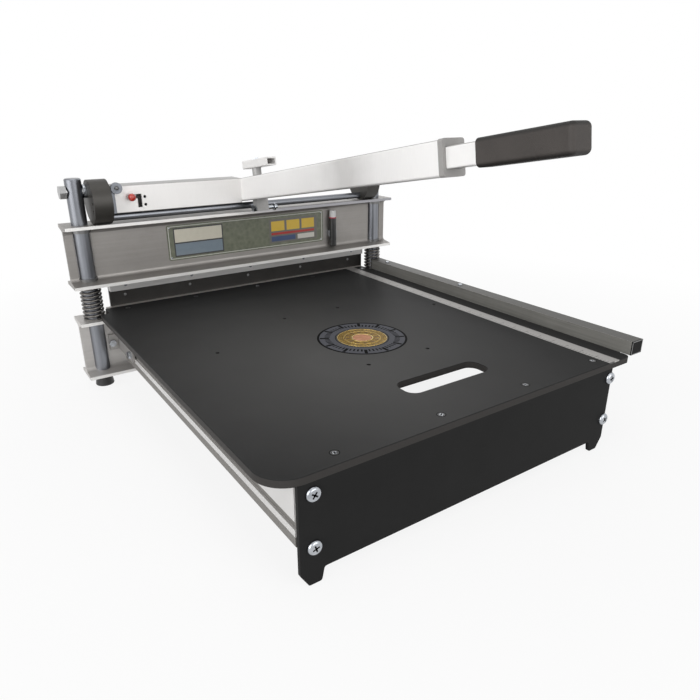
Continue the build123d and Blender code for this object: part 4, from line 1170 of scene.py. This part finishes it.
@dataclass
class Stand(Section):
    """Lower beam, posts, springs, feet, anvil and axles."""

    nodes: dict[str, str] = field(
        default_factory=lambda: {
            "lower_beam": "base_aluminium",
            "post_left": "post_steel",
            "post_right": "post_steel",
            "spring_left": "spring_steel",
            "spring_right": "spring_steel",
            "foot_left": "rubber_black",
            "foot_right": "rubber_black",
            "foot_nuts": "block_steel",
            "anvil": "anvil_steel",
            "axle_bolts": "block_steel",
            "axle_washers": "zinc_steel",
            "axle_nuts": "zinc_steel",
        }
    )
    seat_radius: float = 17.2 * MM
    seat_height: float = 1.6 * MM
    seat_edge: float = 0.5 * MM
    seat_gap: float = 0.15 * MM

    def build(self) -> None:
        """Add the turned seats that the springs stand on."""
        seats = bmesh.new()
        for node in ("post_left", "post_right"):
            low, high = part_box(node)
            inner = (high.x - low.x) / 2 + self.seat_gap
            spot = Vector(((low.x + high.x) / 2, AXIS_Y, BEAM_HIGH.z))
            wide, tall, cut = self.seat_radius, self.seat_height, self.seat_edge
            profile = [(inner, 0.0), (wide, 0.0), (wide, tall - cut), (wide - cut, tall), (inner, tall)]
            self.shop.lathe(seats, Matrix.Translation(spot), profile, around=64, closed=True)
        self.shop.piece("spring_seats", "base", "spring_steel", seats, "spring_black")


@dataclass
class Table(Section):
    """Table plate with its screws, inlays and printed rings."""

    nodes: dict[str, str] = field(
        default_factory=lambda: {
            "table_plate": "table_coat",
            "table_screws": "screw_dark",
            "scale_strip": "scale_metal",
            "medallion_disc": "medallion_brass",
        }
    )
    outer_radius: float = 68.8 * MM
    inner_radius: float = 40.4 * MM
    line: float = 3.4 * MM
    inner_line: float = 1.0 * MM
    height: float = 0.08 * MM
    print_bevel: float = 0.3
    # Each lip's place as a share of the disc's radius, and its width.
    lips: tuple[tuple[float, float], ...] = ((0.41, 2.2 * MM), (0.71, 0.8 * MM), (0.975, 1.0 * MM))
    lip_height: float = 0.35 * MM
    marks: int = 60
    marks_between_majors: int = 5
    major_mark: tuple[float, float] = (14.0 * MM, 4.6 * MM)
    minor_mark: tuple[float, float] = (8.0 * MM, 2.4 * MM)
    major_inset: float = 0.8 * MM
    minor_inset: float = 8.2 * MM
    mark_lift: float = 0.02 * MM
    mark_bevel: float = 0.2
    # Sizes of each screw's bright cross, a painted glint, then of its dark ring, a painted countersink
    # shadow.
    cross_length: float = 5.6 * MM
    cross_arm: float = 1.5 * MM
    cross_depth: float = 0.14 * MM
    first_turn: float = 0.4
    rim_radius: float = 5.9 * MM
    rim_width: float = 1.3 * MM
    rim_slope: float = 0.4 * MM
    rim_height: float = 0.06 * MM
    # Millimetres: each row's place along Y from the beams' axis, then its screws along X.
    screw_rows: tuple[tuple[float, tuple[float, ...]], ...] = (
        (-7.0, (-241.1, -116.2, 10.9, 138.1, 265.0)),
        (-617.3, (-206.2, -60.9, 82.0, 220.7)),
    )

    def band(self, spot: Vector, inner: float, outer: float, height: float, name: str, ink: str) -> None:
        """Print one ring on the table.

        Args:
            spot: its centre.
            inner: inner radius.
            outer: outer radius.
            height: thickness of the print.
            name: the piece's name.
            ink: its finish.
        """
        ring = bmesh.new()
        lip = height * self.print_bevel
        profile = [(inner, 0.0), (outer, 0.0), (outer, height - lip), (outer - lip, height)]
        profile += [(inner + lip, height), (inner, height - lip)]
        self.shop.lathe(ring, Matrix.Translation(spot), profile, around=128, closed=True)
        self.shop.piece(name, "base", ink, ring, "dark_table")

    def raise_lips(self, spot: Vector, radius: float) -> None:
        """Add the bright lips on the disc.

        Args:
            spot: the disc's centre.
            radius: the disc's radius.
        """
        shape = bmesh.new()
        for share, wide in self.lips:
            mid, tall = share * radius, self.lip_height
            profile = [(mid - wide / 2, 0.0), (mid + wide / 2, 0.0), (mid + wide / 4, tall)]
            profile += [(mid - wide / 4, tall)]
            self.shop.lathe(shape, Matrix.Translation(spot), profile, around=96, closed=True)
        self.shop.piece("medallion_lips", "base", "brass_bright", shape, "dark_table", smooth=True)

    def print_marks(self, spot: Vector, start: float, end: float) -> None:
        """Print the plain marks between the two lines.

        Args:
            spot: the rings' centre.
            start: radius at which the grey field starts.
            end: radius at which it ends.
        """
        shape = bmesh.new()
        for index in range(self.marks):
            major = index % self.marks_between_majors == 0
            long, wide = self.major_mark if major else self.minor_mark
            away = end - long / 2 - self.major_inset if major else start + self.minor_inset + long / 2
            turn = Matrix.Rotation(index / self.marks * math.tau, 4, "Z")
            shift = Matrix.Translation((away, 0, self.height / 2 + self.mark_lift))
            place = Matrix.Translation(spot) @ turn @ shift
            self.shop.block(shape, place, Vector((long, wide, self.height)), self.height * self.mark_bevel)
        self.shop.piece("print_marks", "base", "print_ink", shape, "dark_table")

    def fit_screws(self) -> None:
        """Add a bright cross on each table screw as a painted glint, and a dark ring round it as a painted
        countersink shadow.
        """
        glint_crosses, shadow_rings = bmesh.new(), bmesh.new()
        wide, thin = self.rim_radius, self.rim_height
        inner = wide - self.rim_width
        profile = [(inner, 0.0), (wide, 0.0), (wide - self.rim_slope, thin), (inner, thin)]
        for depth, across in self.screw_rows:
            for index, x in enumerate(across):
                seat = Matrix.Translation((x * MM, AXIS_Y + depth * MM, TABLE_TOP))
                # Painted shadow: a dark ring round each countersink.
                self.shop.lathe(shadow_rings, seat, profile, around=40, closed=True)
                # Painted glint: a bright cross on the dark head.
                turned = seat @ Matrix.Rotation(self.first_turn + index, 4, "Z")
                self.shop.cross(glint_crosses, turned, self.cross_length, self.cross_arm, self.cross_depth)
        self.shop.piece("table_screw_glints", "base", "zinc_steel", glint_crosses, "zinc_steel")
        self.shop.piece("table_screw_shadow_rings", "base", "recess_dark", shadow_rings, "dark_table")

    def build(self) -> None:
        """Print the rings and marks, and add the screws' painted glints and painted countersink shadows."""
        low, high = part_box("medallion_disc")
        spot = Vector(((low.x + high.x) / 2, (low.y + high.y) / 2, TABLE_TOP))
        out, near = self.outer_radius, self.inner_radius
        start, end = near + self.inner_line, out - self.line
        self.band(spot, start, end, self.height / 2, "print_field", "print_grey")
        self.band(spot, end, out, self.height, "print_ring_outer", "print_ink")
        self.band(spot, near, start, self.height, "print_ring_inner", "print_ink")
        self.raise_lips(spot, (high.x - low.x) / 2)
        self.print_marks(spot, start, end)
        self.fit_screws()


@dataclass
class FrontPanel(Section):
    """Front panel, the angles behind it and its pan-head screws."""

    nodes: dict[str, str] = field(
        default_factory=lambda: {
            "front_panel": "panel_coat",
            "panel_screws": "zinc_steel",
            "corner_angle_left": "rail_aluminium",
            "corner_angle_right": "rail_aluminium",
            "cross_angle": "rail_aluminium",
        }
    )
    # Millimetres along X and Z, then the turn in radians of the dark cross.
    seats: tuple[tuple[float, float, float], ...] = (
        (-244.5, 46.9, 0.3),
        (-244.5, 110.6, 0.95),
        (235.8, 46.9, 0.6),
        (235.8, 110.6, 0.2),
    )
    cross_length: float = 8.2 * MM
    cross_arm: float = 1.9 * MM
    cross_depth: float = 0.3 * MM

    def build(self) -> None:
        """Add dark crosses on the screw heads as painted shade of their cross recesses."""
        head_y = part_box("panel_screws")[0].y
        dark = bmesh.new()
        for x, z, turn in self.seats:
            seat = Matrix.Translation((x * MM, head_y, z * MM)) @ FACING_USER
            turned = seat @ Matrix.Rotation(turn, 4, "Z")
            self.shop.cross(dark, turned, self.cross_length, self.cross_arm, self.cross_depth)
        self.shop.piece("panel_screw_recess_shades", "base", "recess_dark", dark, "zinc_steel")


@dataclass
class Rails(Section):
    """Side rails with their brackets and bolts."""

    nodes: dict[str, str] = field(
        default_factory=lambda: {
            "rail_left": "rail_aluminium",
            "rail_right": "rail_aluminium",
            "rail_bracket_left": "bracket_aluminium",
            "rail_bracket_right": "bracket_aluminium",
            "bracket_bolts": "zinc_steel",
        }
    )
    # Millimetres from the rail's outer face, and above the floor.
    section: tuple[tuple[float, float], ...] = ((0.1, 59.7), (0.1, 49.0), (1.6, 47.2), (6.4, 47.2))

    def build(self) -> None:
        """Add the skirt that closes each rail's recess under its rib; its finish paints it dark as painted
        shade.
        """
        for side, turn in (("left", 1), ("right", -1)):
            low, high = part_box(f"rail_{side}")
            face = low.x if turn > 0 else high.x
            shape = bmesh.new()
            rim = [shape.verts.new((face + turn * x * MM, low.y, z * MM)) for x, z in self.section]
            cap = shape.faces.new(rim)
            grown = bmesh.ops.extrude_face_region(shape, geom=[cap], use_keep_orig=True)
            far = [item for item in grown["geom"] if isinstance(item, bmesh.types.BMVert)]
            bmesh.ops.translate(shape, verts=far, vec=(0, high.y - low.y, 0))
            self.shop.piece(f"rail_skirt_{side}", "base", "rail_aluminium", shape, "brushed_aluminium")


@dataclass
class Fence(Section):
    """Square tube on the right edge, its plugs, screws and support."""

    nodes: dict[str, str] = field(
        default_factory=lambda: {
            "fence_tube": "fence_bronze",
            "fence_support": "fence_bronze",
            "fence_plugs": "recess_dark",
            "fence_screws": "zinc_steel",
        }
    )
    rim: float = 1.3 * MM
    proud: float = 0.25 * MM
    bevel: float = 0.05 * MM

    def build(self) -> None:
        """Add the bright cut edge of the tube round the front plug."""
        low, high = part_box("fence_plugs")
        cut_edge = bmesh.new()
        middle = (low + high) / 2
        wide, tall = high.x - low.x, high.z - low.z
        face = low.y - self.proud / 2
        for side in (-1, 1):
            bar = Matrix.Translation((middle.x + side * (wide - self.rim) / 2, face, middle.z))
            self.shop.block(cut_edge, bar, Vector((self.rim, self.proud, tall)), self.bevel)
            bar = Matrix.Translation((middle.x, face, middle.z + side * (tall - self.rim) / 2))
            self.shop.block(cut_edge, bar, Vector((wide, self.proud, self.rim)), self.bevel)
        self.shop.piece("fence_cut_edge", "base", "stud_steel", cut_edge, "fence_bronze")


@dataclass
class BladeBeam(Section):
    """Upper beam with bushes, blade, label plate, pen clip and pen."""

    nodes: dict[str, str] = field(
        default_factory=lambda: {
            "upper_beam": "beam_aluminium",
            "bushes": "bush_steel",
            "blade": "blade_steel",
            "blade_bar": "bar_aluminium",
            "blade_bolts": "zinc_steel",
            "bar_screws": "zinc_steel",
            "label_plate": "label_film",
            "pen_clip": "zinc_steel",
            "pen_body": "pen_black",
            "pen_cap": "pen_white",
        }
    )
    rivet_radius: float = 1.6 * MM
    rivet_height: float = 0.9 * MM
    rivet_inset: float = 5.0 * MM
    ring_height: float = 2.4 * MM
    ring_proud: float = 0.35 * MM
    ring_depth: float = 1.0 * MM
    ring_edge: float = 0.3 * MM
    rib: tuple[float, float, float] = (0.8 * MM, 0.8 * MM, 34.0 * MM)
    rib_spread: float = 1.44 * MM
    rib_edge: float = 0.2 * MM
    stud_radius: float = 2.6 * MM
    stud_rise: float = 0.9 * MM
    stud_height: float = 151.0 * MM
    # Millimetres along X.
    stud_places: tuple[float, ...] = (-236.0, -116.0, 4.0, 124.0, 244.0)
    bush_height: float = 13.0 * MM
    lip_clearance: float = 0.5 * MM
    lip_overlap: float = 0.3 * MM
    lip_edge: float = 0.3 * MM
    lip_depth: float = 4.0 * MM

    def close_web(self) -> None:
        """Add lips that narrow the gaps between the web and the posts."""
        shape = bmesh.new()
        low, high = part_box("upper_beam")
        bush_low, bush_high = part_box("bushes")
        tall = high.z - low.z - 2 * self.bush_height
        for node, outer in (("post_left", bush_low.x), ("post_right", bush_high.x)):
            post_low, post_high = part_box(node)
            middle, radius = (post_low.x + post_high.x) / 2, (post_high.x - post_low.x) / 2
            near, far = radius + self.lip_clearance, abs(outer - middle) + self.lip_overlap
            for side in (-1, 1):
                spot = Vector((middle + side * (near + far) / 2, AXIS_Y, (low.z + high.z) / 2))
                size = Vector((far - near, self.lip_depth, tall))
                self.shop.block(shape, Matrix.Translation(spot), size, self.lip_edge)
        self.shop.piece("web_lips", "blade_beam", "beam_aluminium", shape, "brushed_aluminium")

    def rivet_label(self) -> None:
        """Add a rivet in each corner of the label plate."""
        low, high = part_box("label_plate")
        across = (low.x + self.rivet_inset, high.x - self.rivet_inset)
        up = (low.z + self.rivet_inset, high.z - self.rivet_inset)
        places = [Matrix.Translation((x, low.y, z)) @ FACING_USER for x in across for z in up]
        shape = self.shop.heads(places, self.rivet_radius, self.rivet_height)
        self.shop.piece("label_rivets", "blade_beam", "zinc_steel", shape, "zinc_steel", smooth=True)

    def stud_blade(self) -> None:
        """Add the row of studs on the blade's front."""
        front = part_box("blade")[0].y
        spots = [(x * MM, front, self.stud_height) for x in self.stud_places]
        places = [Matrix.Translation(spot) @ FACING_USER for spot in spots]
        shape = self.shop.heads(places, self.stud_radius, self.stud_rise)
        self.shop.piece("blade_studs", "blade_beam", "stud_steel", shape, "zinc_steel", smooth=True)

    def finish_pen(self) -> None:
        """Add the pen's coloured ring and the two ribs on its front."""
        low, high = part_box("pen_body")
        middle = (low + high) / 2
        radius = (high.x - low.x) / 2
        ring = bmesh.new()
        base = Matrix.Translation((middle.x, middle.y, high.z - self.ring_height))
        wide, tall, cut = radius + self.ring_proud, self.ring_height, self.ring_edge
        inner = radius - self.ring_depth
        profile = [(inner, 0.0), (wide - cut, 0.0), (wide, cut)]
        profile += [(wide, tall - cut), (wide - cut, tall), (inner, tall)]
        self.shop.lathe(ring, base, profile, around=48, closed=True)
        self.shop.piece("pen_ring", "pen", "ring_pink", ring, "pen_black", smooth=True)
        ribs = bmesh.new()
        for side in (-1, 1):
            seat = Vector((middle.x + side * self.rib_spread, middle.y - radius, middle.z))
            self.shop.block(ribs, Matrix.Translation(seat), Vector(self.rib), self.rib_edge)
        self.shop.piece("pen_ribs", "pen", "plastic_black", ribs, "pen_black")

    def build(self) -> None:
        """Close the web round the posts, fit rivets and studs, and finish the pen."""
        self.close_web()
        self.rivet_label()
        self.stud_blade()
        self.finish_pen()


@dataclass
class Lever(Section):
    """Cams, rod, cross tube and handle tube with their fittings."""

    nodes: dict[str, str] = field(
        default_factory=lambda: {
            "cam_left": "cam_steel",
            "cam_right": "cam_steel",
            "cross_rod": "rod_steel",
            "cross_tube": "lever_aluminium",
            "end_plate": "blued_plate",
            "latch_guide": "plastic_black",
            "pivot_boss": "blued_plate",
            "handle_tube": "handle_aluminium",
            "handle_plug": "plastic_black",
            "collar": "collar_grey",
            "lock_block": "cast_block",
            "lock_bolt": "zinc_steel",
        }
    )
    boss_head: float = 3.4 * MM
    boss_height: float = 1.5 * MM
    boss_depth: float = 1.5 * MM
    collar_radius: float = 6.6 * MM
    collar_bore: float = 3.25 * MM
    collar_thickness: float = 2.6 * MM
    collar_edge: float = 0.4 * MM
    collar_back: float = 7.0 * MM
    button_radius: float = 2.3 * MM
    button_height: float = 0.9 * MM
    # Millimetres along X and Z.
    buttons: tuple[tuple[float, float], ...] = ((-192.3, 322.4), (-192.3, 309.6))

    def bolt_boss(self) -> None:
        """Add the bolt's head in the boss."""
        low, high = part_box("pivot_boss")
        middle = (low + high) / 2
        seat = Matrix.Translation((middle.x, low.y + self.boss_depth, middle.z)) @ FACING_USER
        shape = self.shop.heads([seat], self.boss_head, self.boss_height, around=36)
        self.shop.piece("boss_bolt", "lever", "stud_steel", shape, "zinc_steel", smooth=True)

    def fit_buttons(self) -> None:
        """Add the two buttons by the latch."""
        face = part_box("cross_tube")[0].y
        places = [Matrix.Translation((x * MM, face, z * MM)) @ FACING_USER for x, z in self.buttons]
        shape = self.shop.heads(places, self.button_radius, self.button_height)
        self.shop.piece("latch_buttons", "lever", "recess_dark", shape, "black_plastic", smooth=True)

    def collar_lock(self) -> None:
        """Add the collar on the lock's cross bolt."""
        low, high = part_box("lock_bolt")
        middle = (low + high) / 2
        axle = Matrix.Translation((high.x - self.collar_back, middle.y, middle.z)) @ FACING_RIGHT
        inner, wide, cut = self.collar_bore, self.collar_radius, self.collar_edge
        tall = self.collar_thickness
        profile = [(inner, 0.0), (wide - cut, 0.0), (wide, cut), (wide, tall - cut), (wide - cut, tall)]
        shape = bmesh.new()
        self.shop.lathe(shape, axle, profile + [(inner, tall)], around=40, closed=True)
        self.shop.piece("lock_collar", "lever", "zinc_steel", shape, "zinc_steel")

    def build(self) -> None:
        """Add the boss's bolt, the two buttons by the latch and the lock's collar."""
        self.bolt_boss()
        self.fit_buttons()
        self.collar_lock()


@dataclass
class Fittings(Section):
    """Clamp knob, latch and sliding grip arm."""

    nodes: dict[str, str] = field(
        default_factory=lambda: {
            "knob_stem": "stem_steel",
            "knob_bar": "knob_aluminium",
            "knob_cap": "zinc_steel",
            "latch_bolt": "rod_steel",
            "latch_ball": "ball_red",
            "arm_tube": "arm_aluminium",
            "arm_shoe": "plastic_black",
            "grip": "grip_brown",
        }
    )


@dataclass
class Studio:
    """Pale floor, white surroundings, soft lamps and the camera."""

    lens: float = 31.01
    sensor: float = 36.0
    camera_spot: tuple[float, float, float] = (-0.4933, -1.0622, 0.4549)
    pitch: float = math.radians(21.63)
    yaw: float = math.radians(34.53)
    floor_size: float = 14.0
    floor_tone: Colour = (0.9, 0.9, 0.9)
    floor_fade: tuple[tuple[float, float], ...] = ((0.03, 0.86), (0.09, 1.0))
    wall_bands: float = 4.0
    wall_turn: float = 0.9
    wall_swing: float = 0.16
    wall_level: float = 0.36
    aim: tuple[float, float, float] = (0.0, 0.0, 0.2)
    # Name, place, size in metres and watts.
    lamps: tuple[tuple[str, tuple[float, float, float], float, float], ...] = (
        ("left_lamp", (-2.5, -0.7, 0.75), 2.6, 60.0),
        ("front_lamp", (0.5, -2.7, 1.2), 2.2, 31.0),
        ("back_lamp", (1.35, 1.9, 1.1), 1.3, 3.0),
        ("top_lamp", (-0.2, 0.1, 2.4), 1.4, 6.0),
    )

    def build(self) -> None:
        """Set everything up."""
        self.floor()
        self.world()
        for name, spot, size, power in self.lamps:
            self.lamp(name, spot, size, power)
        self.camera()
        bpy.context.scene.view_settings.view_transform = "Standard"

    @staticmethod
    def seen(bench: Bench) -> Wire:
        """Find the rays that show the background: direct, mirrored or let through.

        Args:
            bench: the material's or the world's workspace.

        Returns:
            The wire of the mask.
        """
        rays = bench.node("ShaderNodeLightPath")
        names = ("Is Camera Ray", "Is Glossy Ray", "Is Transmission Ray")
        camera, glossy, through = (Wire(bench, rays.outputs[name]) for name in names)
        return (camera + glossy + through) > 0.5

    def floor(self) -> None:
        """Make the floor: pale near the cutter, white further off."""
        shape = bmesh.new()
        bmesh.ops.create_grid(shape, x_segments=1, y_segments=1, size=self.floor_size)
        mesh = bpy.data.meshes.new("floor")
        shape.to_mesh(mesh)
        shape.free()
        floor = add("floor", mesh)
        material = bpy.data.materials.new("floor_white")
        bench = Bench(material)
        far = bench.wire("ShaderNodeVectorMath", {"operation": "LENGTH"}, {0: bench.spot()}, "Value")
        matte = bench.wire("ShaderNodeBsdfDiffuse", None, {"Color": opaque(self.floor_tone)})
        glow = bench.wire("ShaderNodeEmission", None, {"Color": (1, 1, 1, 1), "Strength": 1.0})
        seen = self.seen(bench)
        share = bench.ramp(far / self.floor_size, list(self.floor_fade))
        mixed = bench.wire("ShaderNodeMixShader", None, {"Fac": seen * share, 1: matte, 2: glow})
        bench.node("ShaderNodeOutputMaterial", None, {"Surface": mixed})
        floor.data.materials.append(material)

    def world(self) -> None:
        """Make soft light that is brighter and darker by turns round the room."""
        world = bpy.data.worlds.new("surroundings")
        bpy.context.scene.world = world
        bench = Bench(world)
        x, y, _ = bench.axes()
        bands = (y.angle(x) * self.wall_bands + self.wall_turn).sine() * self.wall_swing + self.wall_level
        seen = self.seen(bench)
        strength = seen + (1.0 - seen) * bands
        glow = bench.wire("ShaderNodeBackground", None, {"Color": (1, 1, 1, 1), "Strength": strength})
        bench.node("ShaderNodeOutputWorld", None, {"Surface": glow})

    def lamp(self, name: str, spot: tuple[float, float, float], size: float, power: float) -> None:
        """Hang one soft square lamp that faces the cutter.

        Args:
            name: the lamp's name.
            spot: where it hangs.
            size: its side in metres.
            power: its watts.
        """
        data = bpy.data.lights.new(name, "AREA")
        data.shape = "SQUARE"
        data.size = size
        data.energy = power
        lamp = add(name, data)
        lamp.location = spot
        sight = Vector(self.aim) - Vector(spot)
        lamp.rotation_euler = sight.to_track_quat("-Z", "Y").to_euler()

    def camera(self) -> None:
        """Stand the camera at the fitted place."""
        data = bpy.data.cameras.new("camera")
        data.lens = self.lens
        data.sensor_width = self.sensor
        camera = add("camera", data)
        x, y, z = self.camera_spot
        camera.location = (x, y + AXIS_Y, z)
        camera.rotation_euler = (math.pi / 2 - self.pitch, 0.0, -self.yaw)
        bpy.context.scene.camera = camera


def main() -> None:
    """Dress the cutter, add its small pieces and set up the studio."""
    logging.basicConfig(level=logging.INFO, format="%(message)s")
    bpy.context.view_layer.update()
    rack = FinishRack()
    rack.stock()
    shop = Workshop(rack)
    for section in (Stand, Table, FrontPanel, Rails, Fence, BladeBeam, Lever, Fittings):
        section(shop).make()
    Studio().build()


if __name__ == "__main__":
    main()
